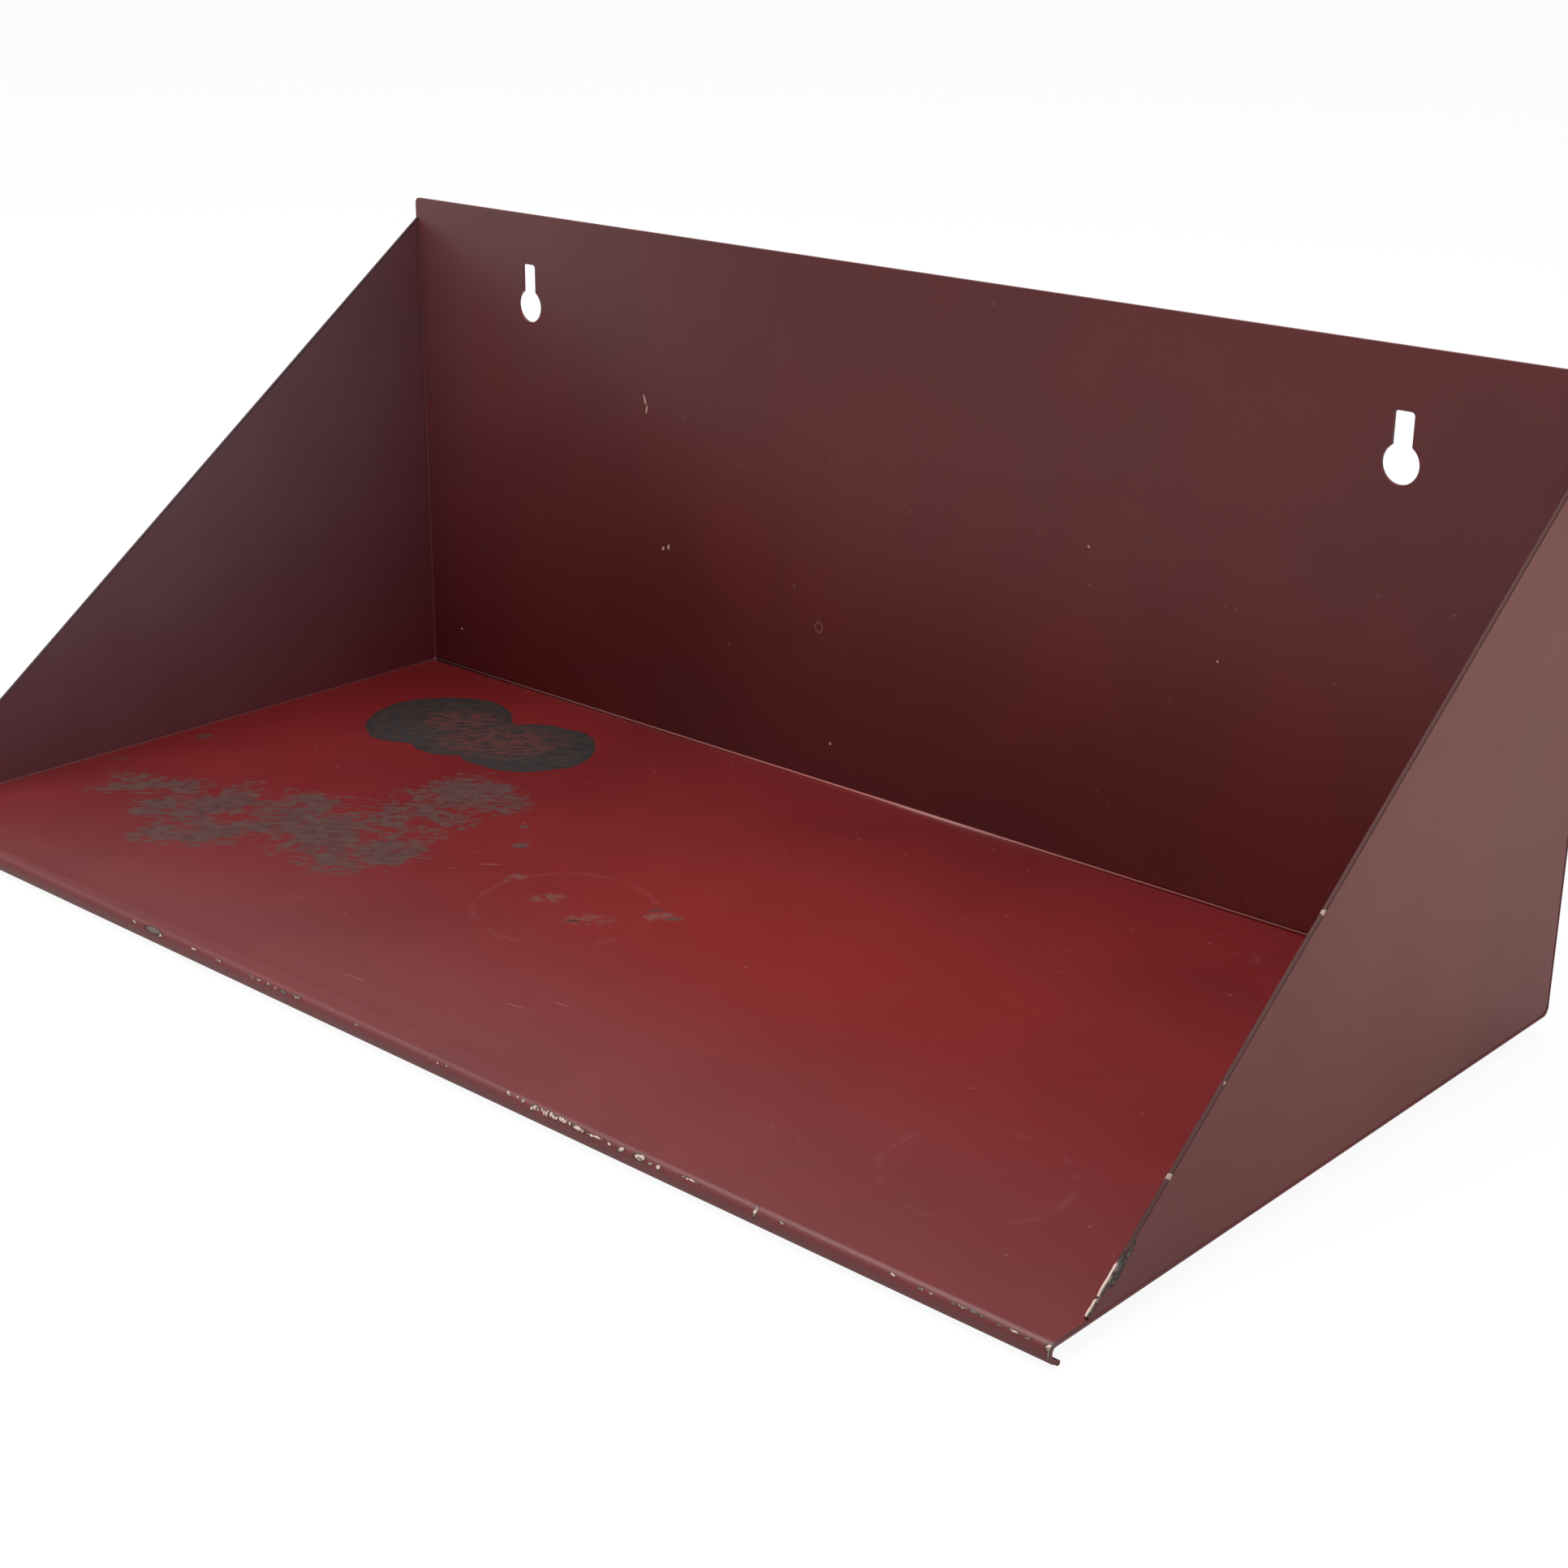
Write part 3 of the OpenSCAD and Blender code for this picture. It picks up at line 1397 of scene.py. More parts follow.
class BackFinish(StripFinish):
    """Lacquer of the back's front face, with a few flecks and fine scratches, painted shade towards its
    bottom and painted sheen towards its left.
    """

    # Painted sheen towards the back's left.
    painted_sheen = PaintedLightPatch((-205.0, -1.0, 30.0), (190.0, 60.0, 170.0), 0.40)
    # Painted shade: darker red towards the back's bottom, next to the surface.
    painted_shade = PaintedLightPatch((-80.0, -1.0, -135.0), (330.0, 60.0, 105.0), 0.55)
    ring_line_mm = 0.7

    def lay_wear(self) -> None:
        """Lays the painted shade, the painted sheen, the painted fold highlight, the flecks and the fine
        scratches of the back.
        """
        bench = self.bench
        self.cover(self.painted_shade.mask(bench, self.place), self.palette.painted_shade)
        self.cover(self.painted_sheen.mask(bench, self.place), self.palette.painted_sheen)
        self.lay_painted_fold_highlight()
        place = self.coordinates(Face.BACK, warp_mm=0.25, warp_scale=500.0)
        flecks = self.inside(self.wear.back_flecks, place, 0.3)
        self.cover(flecks, self.palette.primer, roughness=0.6, share=0.75)
        ring = self.wear.back_ring.ring(bench, place, self.ring_line_mm)
        self.cover(ring, self.palette.dust, roughness=0.6, share=0.5)
        lines = self.inside(self.wear.back_scratches, place, 0.5)
        self.cover(lines, self.palette.outline, roughness=0.5, share=0.6)


class FoldFinish(StripFinish):
    """Lacquer of the front edge, chipped along its fold and bare at its two ends."""

    bend_roughness = 0.5
    bare_specks = Speckle(1500.0, 1.0, 0.45, 0.62)
    bare_end = 0.25 * MM
    lip_depth = 3.6 * MM

    def lay_wear(self) -> None:
        """Lays the painted sheen, the duller bend, the chips and the raw ends."""
        self.lay_painted_front_sheen()
        in_bend = self.below(self.z, self.sizes.surface - 0.04 * MM, 0.04 * MM)
        self.cover(in_bend, self.color, self.bend_roughness)
        self.lay_fold_chips()
        self.lay_raw_ends()

    def lay_fold_chips(self) -> None:
        """Lays the chips along the front fold, each with a dark outline."""
        bench = self.bench
        place = self.coordinates(Face.FOLD, warp_mm=0.32, warp_scale=900.0)
        grey = self.field(self.wear.fold_grey, place)
        pale = self.field(self.wear.fold_pale, place)
        outline = bench.ease(bench.math("MAXIMUM", grey, pale), -0.7, -0.1)
        self.cover(outline, self.palette.outline, roughness=0.5, share=0.7)
        self.cover(bench.ease(grey, 0.0, 0.25), self.palette.chipped, roughness=0.6)
        bare = self.bare_specks.mask(bench, self.place)
        patchy = bench.blend(bare, self.palette.primer, self.palette.chipped)
        self.cover(bench.ease(pale, 0.0, 0.2), patchy, roughness=0.6)

    def lay_raw_ends(self) -> None:
        """Lays the bare sheet at both ends of the front section, and the lip's dull end."""
        end = self.bench.math("ABSOLUTE", self.x)
        at_end = self.above(end, self.sizes.right - self.bare_end, 0.1 * MM)
        in_front = self.below(self.y, self.sizes.tip_y(Side.RIGHT) + 3 * MM, 3 * MM)
        self.cover(self.gate(at_end, in_front), self.palette.raw_edge, roughness=0.6)
        lip = self.gate(at_end, self.below(self.z, self.sizes.surface - self.lip_depth, 0.3 * MM))
        self.cover(lip, self.palette.lip_end, roughness=0.55)


class PlateFinish(LacquerFinish):
    """Lacquer of one end plate, with painted shade along its slope's edge.

    Args:
        name: Name of the material.
        sizes: The shelf's sizes.
        side: Which end it is.
        wear: Where it is rubbed and chipped.
    """

    flaked = Speckle(900.0, 3.0, 0.4, 0.6)
    flake_step = 0.03 * MM
    primer_depth = 0.45

    def __init__(self, name: str, sizes: ShelfSizes, side: Side, wear: PlateWear) -> None:
        """Makes the empty material, duller than the strip's."""
        super().__init__(name, sizes, wear.palette)
        self.side = side
        self.wear = wear
        self.gloss = Gloss(roughness=0.42, coat=0.0)

    def slope_distance(self) -> Socket:
        """Gives the distance below the slope's line.

        Returns:
            The distance in metres.
        """
        tip = Vector((self.sizes.tip_y(self.side), self.sizes.surface + self.sizes.tip_height))
        head = Vector((self.sizes.back_y, self.sizes.plate_top))
        along = (head - tip).normalized()
        normal = Vector((along.y, -along.x))
        reach = self.bench.vector("DOT_PRODUCT", self.place, (0.0, normal.x, normal.y))
        return self.bench.math("SUBTRACT", reach, normal.dot(tip))

    def lay_wear(self) -> None:
        """Lays the painted sheen, the painted shade along the slope's edge, its nicks and the flakes at its
        tip.
        """
        bench = self.bench
        wear = self.wear
        # Painted sheen on the plate: a pale veil for reflected light.
        self.cover(wear.painted_sheen.mask(bench, self.place), self.palette.painted_sheen)
        distance = self.slope_distance()
        uneven = bench.noise(self.place, 240.0, 3.0, 0.7)
        line = bench.math("MULTIPLY_ADD", uneven, -wear.slope_shade_stray, distance)
        # Painted shade: a dark band along the slope's edge, where the rounded edge looks dark.
        self.cover(bench.ease(line, wear.slope_shade_width, 0.0), self.palette.outline, roughness=0.85, share=0.8)
        if wear.nicks:
            place = self.coordinates(Face.PLATE, warp_mm=0.4, warp_scale=700.0)
            self.cover(self.inside(wear.nicks, place, 0.3), self.palette.primer, roughness=0.6, share=0.5)
        if wear.flakes:
            self.lay_flakes()

    def lay_flakes(self) -> None:
        """Lays the flakes: primer on the inner part of the sheet's edge, grey steel outside it."""
        bench = self.bench
        place = self.coordinates(Face.PLATE, warp_mm=0.55, warp_scale=700.0)
        field = self.field(self.wear.flakes, place)
        self.cover(bench.ease(field, -0.35, 0.0), self.palette.outline, roughness=0.6, step=self.flake_step)
        grey = bench.blend(self.flaked.mask(bench, self.place), self.palette.chipped, self.palette.outline)
        outer = self.above(self.x, self.sizes.right - self.primer_depth * self.sizes.end_sheet)
        patchy = bench.blend(outer, self.palette.primer, grey)
        self.cover(bench.ease(field, 0.0, 0.2), patchy, roughness=0.6, step=self.flake_step)


# ---------------------------------------------------------------- pieces


class SweepTree:
    """Geometry Nodes tree that sweeps a section along a path and gives it its lacquer."""

    name = "sweep_along_path"

    def __init__(self) -> None:
        """Builds the tree, whose inputs are the section, the path's corners and the lacquer."""
        tree = bpy.data.node_groups.new(self.name, "GeometryNodeTree")
        self.tree = tree
        tree.interface.new_socket("Geometry", in_out="INPUT", socket_type="NodeSocketGeometry")
        kinds = {"Section": "Object", "Corner radius": "Float", "Corner steps": "Int", "Lacquer": "Material"}
        for name, kind in kinds.items():
            tree.interface.new_socket(name, in_out="INPUT", socket_type=f"NodeSocket{kind}")
        tree.interface.new_socket("Geometry", in_out="OUTPUT", socket_type="NodeSocketGeometry")
        bench = NodeBench(tree)
        given = bench.place("NodeGroupInput").outputs
        path = bench.place("GeometryNodeMeshToCurve")
        bench.feed(path.inputs["Mesh"], given["Geometry"])
        rounded = bench.place("GeometryNodeFilletCurve", mode="POLY")
        bench.feed(rounded.inputs["Curve"], path.outputs[0])
        bench.feed(rounded.inputs["Count"], given["Corner steps"])
        bench.feed(rounded.inputs["Radius"], given["Corner radius"])
        section = bench.place("GeometryNodeObjectInfo")
        bench.feed(section.inputs["Object"], given["Section"])
        outline = bench.place("GeometryNodeMeshToCurve")
        bench.feed(outline.inputs["Mesh"], section.outputs["Geometry"])
        swept = bench.place("GeometryNodeCurveToMesh")
        bench.feed(swept.inputs["Curve"], rounded.outputs[0])
        bench.feed(swept.inputs["Profile Curve"], outline.outputs[0])
        swept.inputs["Fill Caps"].default_value = True
        real = bench.place("GeometryNodeRealizeInstances")
        bench.feed(real.inputs[0], swept.outputs[0])
        dressed = bench.place("GeometryNodeSetMaterial")
        bench.feed(dressed.inputs["Geometry"], real.outputs[0])
        bench.feed(dressed.inputs["Material"], given["Lacquer"])
        bench.feed(bench.place("NodeGroupOutput").inputs[0], dressed.outputs[0])
        self.sockets = {i.name: i.identifier for i in tree.interface.items_tree if i.in_out == "INPUT"}

    def sweep(self, name: str, path: Sequence[Vector], section: Sequence[Vector], corner: float, steps: int,
              lacquer: bpy.types.Material) -> bpy.types.Object:
        """Sweeps one piece and leaves it as a plain mesh.

        Args:
            name: Name of the piece.
            path: Points of the path.
            section: Outline of the section, in the path's own plane.
            corner: Radius of the path's corners.
            steps: Number of points in each corner.
            lacquer: The piece's material.

        Returns:
            The piece, with no modifier.
        """
        outline = wire(f"{name}_section", section, closed=True)
        piece = wire(name, path, closed=False)
        modifier = piece.modifiers.new("sweep", "NODES")
        modifier.node_group = self.tree
        values = {"Section": outline, "Corner radius": corner, "Corner steps": steps, "Lacquer": lacquer}
        for label, value in values.items():
            modifier[self.sockets[label]] = value
        bake_modifiers(piece)
        discard(outline)
        work = bmesh.new()
        work.from_mesh(piece.data)
        bmesh.ops.remove_doubles(work, verts=work.verts[:], dist=SAME_POINT)
        bmesh.ops.recalc_face_normals(work, faces=work.faces[:])
        for face in work.faces:
            face.smooth = True
        work.to_mesh(piece.data)
        work.free()
        return piece


@dataclass
class FoldedStrip:
    """The strip that is folded into the back, the surface and the front edge.

    Args:
        sizes: The shelf's sizes.
        fold_steps: Chords in each quarter fold.
        hole_steps: Chords round each keyhole's round hole.
        slot_steps: Chords in each corner of a keyhole's slot.
        corner_steps: Chords in each top corner of the back.
        name: Name of the piece.
    """

    sizes: ShelfSizes
    fold_steps: int = 14
    hole_steps: int = 56
    slot_steps: int = 6
    corner_steps: int = 8
    name: str = "folded_strip"

    def section(self) -> list[Vector]:
        """Gives the strip's cross-section as Y and Z, anticlockwise.

        Returns:
            The section's points.
        """
        s = self.sizes
        steps = self.fold_steps
        rear = Vector((s.back_y - s.bend, s.surface + s.bend))
        front = Vector((s.fold_y, s.surface - s.bend_out))
        low = front - Vector((0.0, s.front_flat))
        droop = math.degrees(s.lip_droop)
        lip_from = 270 - droop
        outward = Vector((math.cos(math.radians(lip_from)), math.sin(math.radians(lip_from))))
        along = Vector((-outward.y, outward.x))
        half = s.sheet / 2
        neck = math.sqrt(s.lip_bead ** 2 - half ** 2)
        bead_back = (s.lip_bead - half) / math.sin(s.lip_droop)
        bead = low + outward * (s.bend + half) + along * (s.lip_length - bead_back)
        open_angle = math.degrees(math.asin(half / s.lip_bead))
        points = [Vector((s.back_y, s.top)), Vector((s.back_y, s.plate_top))]
        points += arc(rear, s.bend, 0, -90, steps)
        points += [Vector((s.tip_y(Side.RIGHT), s.surface)), Vector((s.tip_y(Side.LEFT), s.surface))]
        points += arc(front, s.bend_out, 90, 180, steps)
        points += arc(low, s.bend_out, 180, lip_from, steps)
        points += [bead + outward * half - along * neck]
        bead_from = lip_from + open_angle - 90
        bead_to = lip_from + 270 - open_angle
        points += arc(bead, s.lip_bead, bead_from, bead_to, 2 * steps)[1:-1]
        points += [bead - outward * half - along * neck]
        points += arc(low, s.bend, lip_from, 180, steps)
        points += arc(front, s.bend, 180, 90, steps)
        points += arc(rear, s.bend_out, -90, 0, steps)
        points += [Vector((0.0, s.top))]
        return points

    def keyhole(self, x: float) -> list[Vector]:
        """Gives the outline of the keyhole at x, as X and Z.

        Args:
            x: X of the keyhole.

        Returns:
            The outline's points.
        """
        s = self.sizes
        half = s.slot_width / 2
        meet = math.degrees(math.asin(half / s.hole_radius))
        points = arc(Vector((x, 0.0)), s.hole_radius, 90 + meet, 450 - meet, self.hole_steps)
        for side, start in ((1, 0), (-1, 90)):
            centre = Vector((x + side * (half - s.slot_corner), s.slot_rise - s.slot_corner))
            points += arc(centre, s.slot_corner, start, start + 90, self.slot_steps)
        return points

    def corner_cutter(self, side: Side) -> list[Vector]:
        """Gives the outline of what is cut off one top corner of the back, as X and Z.

        Args:
            side: Which end it is.

        Returns:
            The outline's points.
        """
        s = self.sizes
        past = s.corner
        sign = side.value
        centre = Vector((s.end_x(side) - sign * s.corner, s.top - s.corner))
        outside = s.end_x(side) + sign * past
        points = arc(centre, s.corner, 90, 90 - sign * 90, self.corner_steps)
        points += [Vector((outside, s.top - s.corner)), Vector((outside, s.top + past))]
        return points + [Vector((centre.x, s.top + past))]

    def cutters(self) -> bpy.types.Object:
        """Makes the cutters of the keyholes and the corners, as one object.

        Returns:
            The cutters.
        """
        past = self.sizes.sheet
        through = self.sizes.sheet + 2 * past
        plane = Matrix(((1, 0, 0, 0), (0, 0, -1, past), (0, 1, 0, 0), (0, 0, 0, 1)))
        work = bmesh.new()
        for side in Side:
            prism(self.keyhole(side.value * self.sizes.hole_x), plane, through, work)
            prism(self.corner_cutter(side), plane, through, work)
        return from_work("strip_cutters", work)

    def is_flush(self, edge: bmesh.types.BMEdge) -> bool:
        """Tells whether an end plate stands flush on an edge.

        Args:
            edge: An edge of the strip.

        Returns:
            Whether it does.
        """
        s = self.sizes
        near = TOUCHING
        low, high = sorted(vert.co.y for vert in edge.verts)
        middle = (edge.verts[0].co + edge.verts[1].co) / 2
        if min(abs(middle.x - s.left), abs(middle.x - s.right)) > near:
            return False
        side = Side.RIGHT if middle.x > 0 else Side.LEFT
        on_surface = abs(middle.z - s.surface) < near and s.tip_y(side) - near < low and high < s.back_y
        on_back = abs(middle.y - s.back_y) < near and s.surface < middle.z < s.plate_top
        over_bend = s.surface < middle.z < s.surface + s.bend
        in_fold = s.back_y - s.bend < middle.y < s.back_y and over_bend
        return on_surface or on_back or in_fold

    def face_kind(self, face: bpy.types.MeshPolygon) -> Face:
        """Tells which lacquer a face of the strip takes, from its place and direction.

        Args:
            face: A face of the strip.

        Returns:
            The kind of face.
        """
        s = self.sizes
        middle, normal = face.center, face.normal
        turned_to = 0.5
        if middle.y < s.tip_y(Side.RIGHT):
            return Face.FOLD
        if normal.z > turned_to and middle.z < s.surface + s.bend:
            return Face.SURFACE
        if normal.y < -turned_to and middle.y < s.back_y / 2:
            return Face.BACK
        return Face.HIDDEN

    def build(self, tree: SweepTree, lacquers: dict[Face, bpy.types.Material]) -> bpy.types.Object:
        """Builds the strip.

        Args:
            tree: The tree that sweeps its section.
            lacquers: The material of each kind of face.

        Returns:
            The piece.
        """
        s = self.sizes
        kinds = list(lacquers)
        lacquer = lacquers[Face.HIDDEN]
        path = [Vector((s.left, 0.0, 0.0)), Vector((s.right, 0.0, 0.0))]
        section = [-point for point in self.section()]
        piece = tree.sweep(self.name, path, section, 0.0, 1, lacquer)
        cutters = self.cutters()
        cut = piece.modifiers.new("holes", "BOOLEAN")
        cut.operation = "DIFFERENCE"
        cut.solver = "EXACT"
        cut.object = cutters
        bake_modifiers(piece)
        discard(cutters)
        soften(piece, s.cut_edge, self.is_flush)
        piece.data.materials.clear()
        for kind in kinds:
            piece.data.materials.append(lacquers[kind])
        for face in piece.data.polygons:
            face.material_index = kinds.index(self.face_kind(face))
        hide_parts("folded_shelf")
        return piece


@dataclass
class EndPlate:
    """One triangular end plate.

    Args:
        side: Which end it is.
        sizes: The shelf's sizes.
        wear: How its slope is dented.
        pitch: Distance between dents.
        fade: Number of dents over which they fade out at the tip.
        seed: Seed of the dents.
    """

    side: Side
    sizes: ShelfSizes
    wear: PlateWear
    pitch: float = 0.8 * MM
    fade: int = 4
    seed: int = 5

    @property
    def name(self) -> str:
        """Name of the piece."""
        return f"{self.side.name.lower()}_end"

    def slope(self) -> list[Vector]:
        """Gives the slope's points from its head down to its tip, as Y and Z, with its dents.

        Returns:
            The points.
        """
        s = self.sizes
        head = Vector((s.back_y, s.plate_top))
        tip = Vector((s.tip_y(self.side), s.surface + s.tip_height))
        along = (tip - head).normalized()
        inward = Vector((-along.y, along.x))
        chance = random.Random(self.seed)
        points = [head]
        for index in range(int(self.wear.dented / self.pitch), 0, -1):
            depth = self.wear.dent * chance.random() ** 2 * min(1.0, index / self.fade)
            points.append(tip - along * (index * self.pitch) + inward * depth)
        return points + [tip]

    def is_flush(self, edge: bmesh.types.BMEdge) -> bool:
        """Tells whether an edge lies on the surface or the back.

        Args:
            edge: An edge of the plate.

        Returns:
            Whether it does.
        """
        low = all(abs(vert.co.z - self.sizes.surface) < TOUCHING for vert in edge.verts)
        rear = all(abs(vert.co.y - self.sizes.back_y) < TOUCHING for vert in edge.verts)
        return low or rear

    def build(self, lacquer: bpy.types.Material) -> bpy.types.Object:
        """Builds the plate.

        Args:
            lacquer: Its material.

        Returns:
            The piece.
        """
        s = self.sizes
        outline = [
            Vector((s.tip_y(self.side), s.surface)),
            Vector((s.back_y - s.clip, s.surface)),
            Vector((s.back_y, s.surface + s.clip)),
            *self.slope(),
        ]
        inner = min(s.end_x(self.side), s.end_x(self.side) - self.side.value * s.end_sheet)
        plane = Matrix(((0, 0, 1, inner), (1, 0, 0, 0), (0, 1, 0, 0), (0, 0, 0, 1)))
        work = bmesh.new()
        prism(outline, plane, s.end_sheet, work)
        piece = from_work(self.name, work)
        piece.data.materials.append(lacquer)
        soften(piece, s.cut_edge, self.is_flush)
        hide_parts(self.side.node)
        return piece


@dataclass
class CornerSeam:
    """The fine seam of lacquer in the inner corner under and behind one end plate.

    Args:
        side: Which end it is.
        sizes: The shelf's sizes.
        leg: Width of the seam on each face.
        embed: How far the seam reaches into the sheet.
        legs_short: How many legs the seam stops short of the plate's tip and head.
        steps: Chords in the hollow, and points in the path's corner.
    """

    side: Side
    sizes: ShelfSizes
    leg: float = 0.7 * MM
    embed: float = 0.1 * MM
    legs_short: int = 4
    steps: int = 8

    @property
    def name(self) -> str:
        """Name of the piece."""
        return f"{self.side.name.lower()}_seam"

    def section(self) -> list[Vector]:
        """Gives the seam's hollow section; its first axis points into the shelf, its second down.

        Returns:
            The section's points.
        """
        inward = -self.side.value
        leg, sunk = self.leg, -self.embed
        hollow = arc(Vector((leg, leg)), leg, 270, 180, self.steps)
        corner = [Vector((sunk, leg)), Vector((sunk, sunk)), Vector((leg, sunk))]
        return [Vector((inward * p.x, -p.y)) for p in hollow + corner]

    def build(self, tree: SweepTree, lacquer: bpy.types.Material) -> bpy.types.Object:
        """Builds the seam.

        Args:
            tree: The tree that sweeps its section.
            lacquer: Its material.

        Returns:
            The piece.
        """
        s = self.sizes
        x = s.end_x(self.side) - self.side.value * s.end_sheet
        inset = self.legs_short * self.leg
        path = [
            Vector((x, s.tip_y(self.side) + inset, s.surface)),
            Vector((x, s.back_y, s.surface)),
            Vector((x, s.back_y, s.plate_top - inset)),
        ]
        return tree.sweep(self.name, path, self.section(), s.bend, self.steps, lacquer)


# ---------------------------------------------------------------- studio


@dataclass(frozen=True)
class Camera:
    """Where the camera stands, as angles about the point that it looks at.

    Args:
        azimuth: Degrees from looking along +Y, positive with the camera moved to +X.
        elevation: Degrees above the horizontal.
        roll: Degrees about the line of sight.
        distance: Distance from the aim.
        lens: Focal length, in millimetres.
        sensor: Width of the sensor, in millimetres.
        nearest: Distance from which the camera sees.
        aim_mm: The point that it looks at.
    """

    azimuth: float = 41.89
    elevation: float = 20.34
    roll: float = 0.56
    distance: float = 0.6271
    lens: float = 59.5
    sensor: float = 36.0
    nearest: float = 0.01
    aim_mm: tuple[float, float, float] = (44.3, -98.0, -79.7)

    def build(self) -> bpy.types.Object:
        """Places the camera and makes it the scene's own.

        Returns:
            The camera.
        """
        turn = math.radians(self.azimuth)
        rise = math.radians(self.elevation)
        away = Vector((math.sin(turn) * math.cos(rise), -math.cos(turn) * math.cos(rise), math.sin(rise)))
        data = bpy.data.cameras.new("camera")
        data.lens = self.lens
        data.sensor_width = self.sensor
        data.clip_start = self.nearest
        camera = new_object("camera", data)
        place = Matrix.Translation(Vector(self.aim_mm) * MM + away * self.distance)
        camera.matrix_world = place @ facing(-away) @ Matrix.Rotation(math.radians(self.roll), 4, "Z")
        bpy.context.scene.camera = camera
        return camera


@dataclass(frozen=True)
class Softbox:
    """One broad area light.

    Args:
        name: Its name.
        place: Where it stands.
        aim: The point that it faces.
        size: Its two sides.
        radiance: How bright its face is.
    """

    name: str
    place: tuple[float, float, float]
    aim: tuple[float, float, float]
    size: tuple[float, float]
    radiance: float

    def build(self) -> bpy.types.Object:
        """Places the light.

        Returns:
            The light.
        """
        data = bpy.data.lights.new(self.name, "AREA")
        data.shape = "RECTANGLE"
        data.size, data.size_y = self.size
        data.energy = self.radiance * math.pi * self.size[0] * self.size[1]
        light = new_object(self.name, data)
        place = Vector(self.place)
        light.matrix_world = Matrix.Translation(place) @ facing(Vector(self.aim) - place)
        return light


@dataclass
class Studio:
    """The pale light table that the shelf stands on, and the soft light round it.

    Args:
        sizes: The shelf's sizes.
        table_size: Width of the table.
        table_depth: Thickness of the table.
        table_felt: Share of light that the table returns to the shelf, and the glow that it adds.
        table_seen: The same two numbers for what the camera sees.
        surround: Brightness of the room.
        surround_seen: The same for what the camera sees.
        softboxes: The lights.
    """

    sizes: ShelfSizes
    table_size: float = 14.0
    table_depth: float = 0.02
    table_felt: tuple[float, float] = (0.42, 0.16)
    table_seen: tuple[float, float] = (0.08, 0.93)
    surround: float = 0.46
    surround_seen: float = 1.0
    softboxes: tuple[Softbox, ...] = (
        Softbox("top_softbox", (-0.1, -0.25, 1.3), (0.0, -0.1, 0.0), (1.6, 1.2), 4.1),
    )

    def table(self) -> bpy.types.Object:
        """Makes the table as a thin slab just under the shelf's lowest point.

        Returns:
            The table.
        """
        half = self.table_size / 2
        corners = [Vector((x * half, y * half)) for x, y in ((-1, -1), (1, -1), (1, 1), (-1, 1))]
        work = bmesh.new()
        below = Matrix.Translation((0.0, 0.0, self.sizes.lowest - self.table_depth))
        prism(corners, below, self.table_depth, work)
        floor = from_work("floor", work)
        material = bpy.data.materials.new("pale_table")
        bench = NodeBench.clear(material)
        looks = []
        for white, glow in (self.table_felt, self.table_seen):
            shader = bench.place("ShaderNodeBsdfPrincipled")
            shader.inputs["Base Color"].default_value = (white, white, white, 1.0)
            shader.inputs["Roughness"].default_value = 1.0
            shader.inputs["Specular IOR Level"].default_value = 0.0
            shader.inputs["Emission Color"].default_value = WHITE
            shader.inputs["Emission Strength"].default_value = glow
            looks.append(shader.outputs[0])
        output = bench.place("ShaderNodeOutputMaterial")
        bench.feed(output.inputs["Surface"], bench.seen_apart(*looks))
        floor.data.materials.append(material)
        return floor

    def room(self) -> None:
        """Makes the pale, even room light."""
        world = bpy.data.worlds.new("room")
        bpy.context.scene.world = world
        bench = NodeBench.clear(world)
        looks = []
        for strength in (self.surround, self.surround_seen):
            background = bench.place("ShaderNodeBackground")
            background.inputs["Color"].default_value = WHITE
            background.inputs["Strength"].default_value = strength
            looks.append(background.outputs[0])
        output = bench.place("ShaderNodeOutputWorld")
        bench.feed(output.inputs["Surface"], bench.seen_apart(*looks))

    def build(self) -> None:
        """Builds the table, the room and the lights."""
        self.table()
        self.room()
        for softbox in self.softboxes:
            softbox.build()
        bpy.context.scene.view_settings.view_transform = "Standard"


# ---------------------------------------------------------------- the shelf


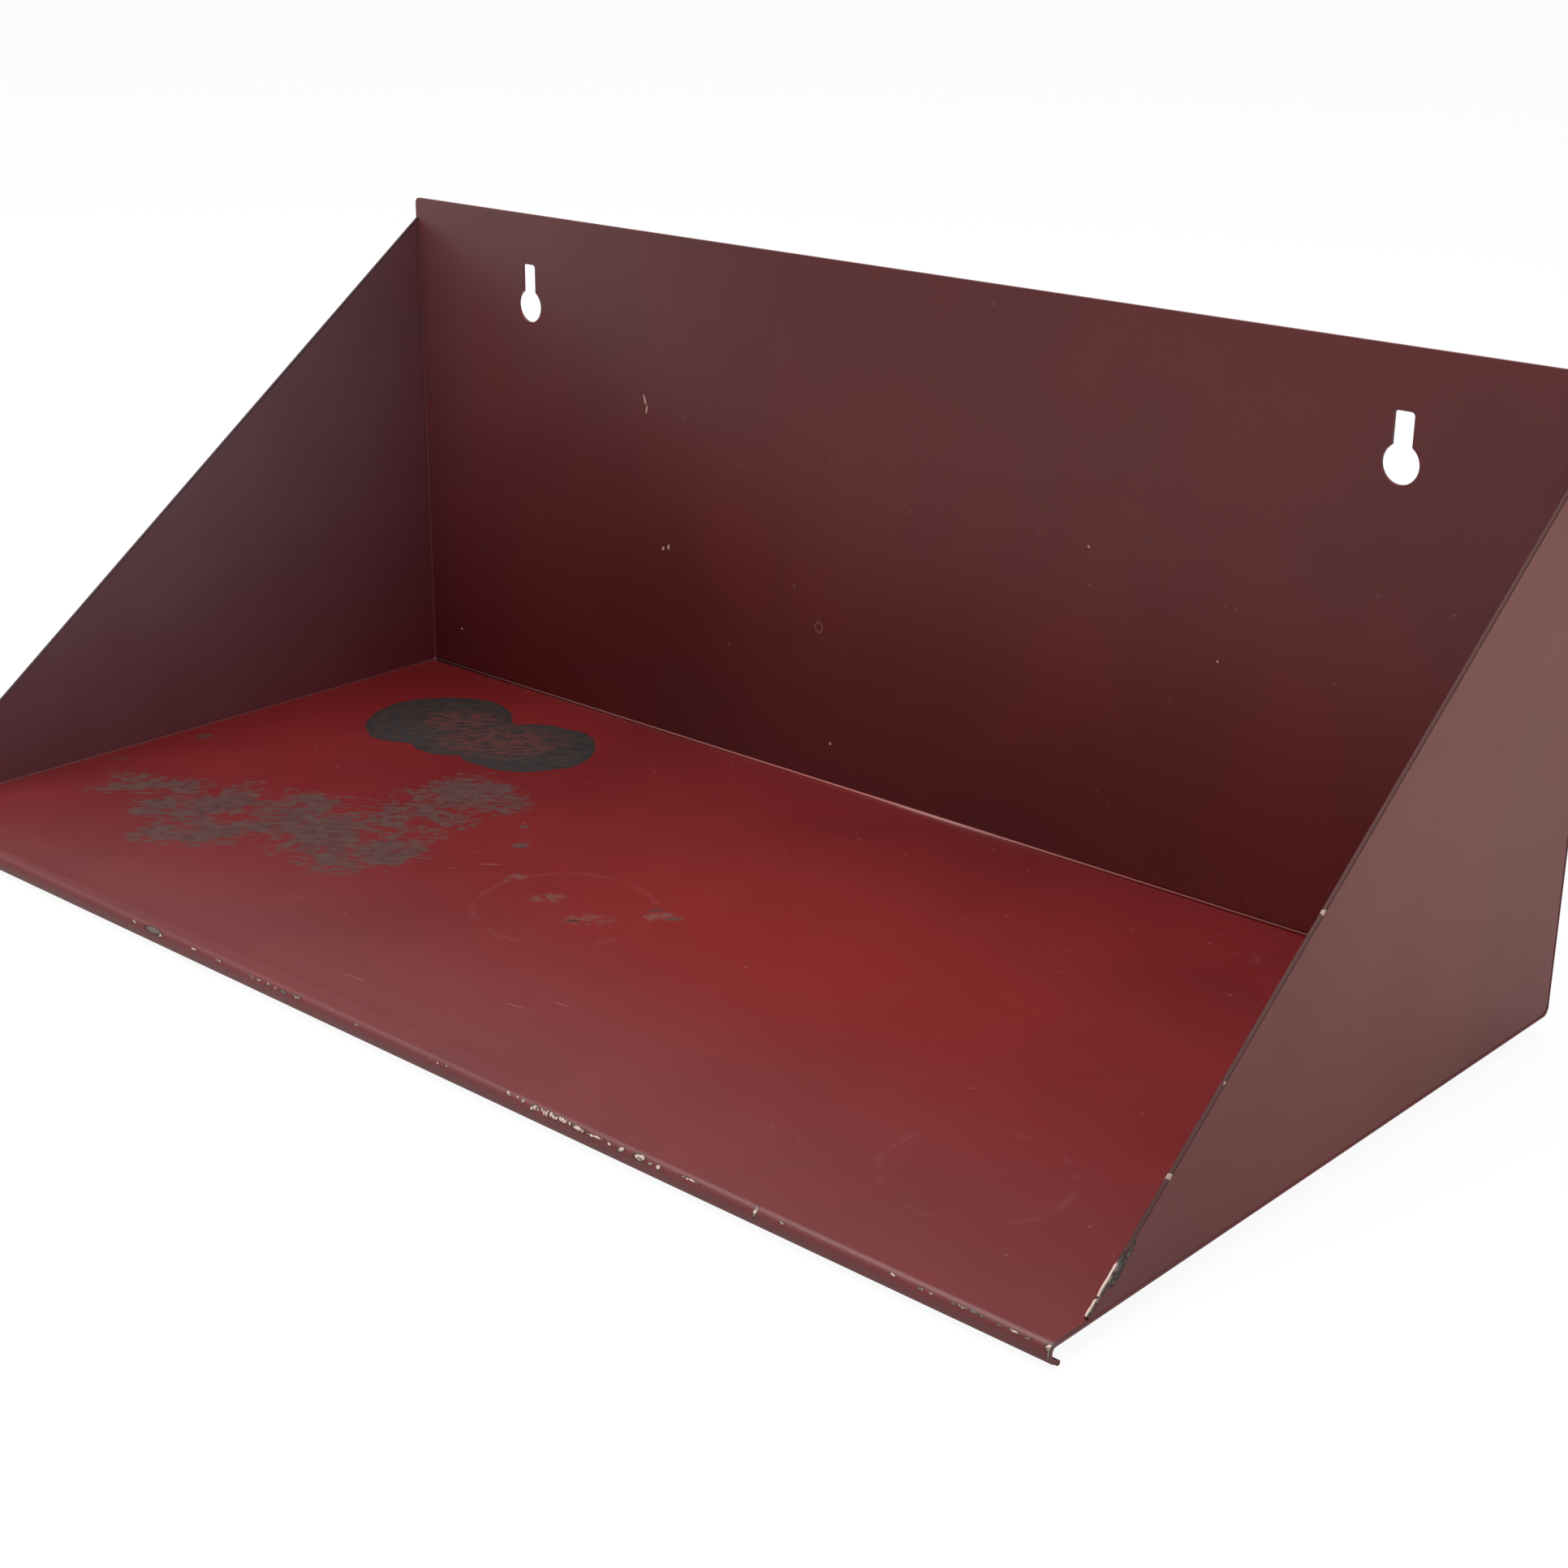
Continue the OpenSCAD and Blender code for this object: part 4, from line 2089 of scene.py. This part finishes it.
@dataclass
class WallShelf:
    """The whole shelf: the folded strip, two end plates and two seams.

    Args:
        sizes: The shelf's sizes.
    """

    sizes: ShelfSizes

    def finish(self, piece: bpy.types.Object, slot: str) -> None:
        """Hands a finished piece to the frame.

        Args:
            piece: The piece.
            slot: The record's slot that it belongs to; it is only written to the log.
        """
        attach(piece, BODY)
        counts = (len(piece.data.vertices), len(piece.data.polygons))
        LOG.info("%s: %d vertices, %d faces, slot %s", piece.name, *counts, slot)

    def plate_wear(self) -> dict[Side, PlateWear]:
        """Gives how each end plate is worn, and the sheen and shade painted on it.

        Returns:
            The wear of each side.
        """
        return {
            # The left plate's darker reds are painted shade on its inner face.
            Side.LEFT: PlateWear(
                painted_sheen=PaintedLightPatch((-200.0, -140.0, 10.0), (60.0, 230.0, 210.0), 1.3),
                palette=Palette(deep=tone("561119"), light=tone("60151d"), painted_sheen=tone("785b63")),
            ),
            Side.RIGHT: PlateWear(
                painted_sheen=PaintedLightPatch((200.0, -40.0, 0.0), (60.0, 250.0, 230.0), 0.54),
                palette=Palette(painted_sheen=tone("a4604e")),
                flakes=(
                    Mark((-180.5, -119.2), (14, 0.9), 37),
                    Mark((-175.8, -117.0), (6, 1.9), 42),
                    Mark((-172.6, -114.4), (5, 1.2), 40),
                ),
                nicks=(
                    Mark((-143, -89.4), (1.5, 1.0), 37),
                    Mark((-138, -85.4), (1.2, 0.9), 37),
                    Mark((-110, -64.0), (1.4, 0.9), 37),
                    Mark((-160, -103.4), (1.4, 0.8), 37),
                ),
                dented=20 * MM,
            ),
        }

    def build_strip(self, tree: SweepTree) -> None:
        """Builds and dresses the folded strip.

        Args:
            tree: The tree that sweeps its section.
        """
        s = self.sizes
        # The back's darker reds are painted shade on its upright face.
        shaded = Palette(deep=tone("5b1012"), light=tone("651416"))
        finishes = {
            Face.HIDDEN: LacquerFinish("plain_lacquer", s),
            Face.SURFACE: SurfaceFinish("surface_lacquer", s),
            Face.BACK: BackFinish("back_lacquer", s, shaded),
            Face.FOLD: FoldFinish("fold_lacquer", s),
        }
        strip = FoldedStrip(s).build(tree, {face: finish.build() for face, finish in finishes.items()})
        self.finish(strip, SHELF_SLOT)

    def build_plates(self) -> None:
        """Builds and dresses the two end plates."""
        for side, wear in self.plate_wear().items():
            name = f"{side.name.lower()}_plate_lacquer"
            lacquer = PlateFinish(name, self.sizes, side, wear).build()
            self.finish(EndPlate(side, self.sizes, wear).build(lacquer), PLATE_SLOT)

    def build_seams(self, tree: SweepTree) -> None:
        """Builds and dresses the two seams.

        Args:
            tree: The tree that sweeps their section.
        """
        # The seams' darker reds are painted shade in the inner corners.
        dark = Palette(deep=tone("4a0e12"), light=tone("541316"))
        lacquer = LacquerFinish("seam_lacquer", self.sizes, dark).build()
        for side in Side:
            self.finish(CornerSeam(side, self.sizes).build(tree, lacquer), PLATE_SLOT)

    def build(self) -> None:
        """Builds and dresses every piece."""
        tree = SweepTree()
        self.build_strip(tree)
        self.build_plates()
        self.build_seams(tree)


def main() -> None:
    """Builds the scene: the camera, the studio and the shelf."""
    logging.basicConfig(level=logging.INFO, format="%(name)s: %(message)s")
    sizes = ShelfSizes.from_frame()
    Camera().build()
    Studio(sizes).build()
    WallShelf(sizes).build()


if __name__ == "__main__":
    main()
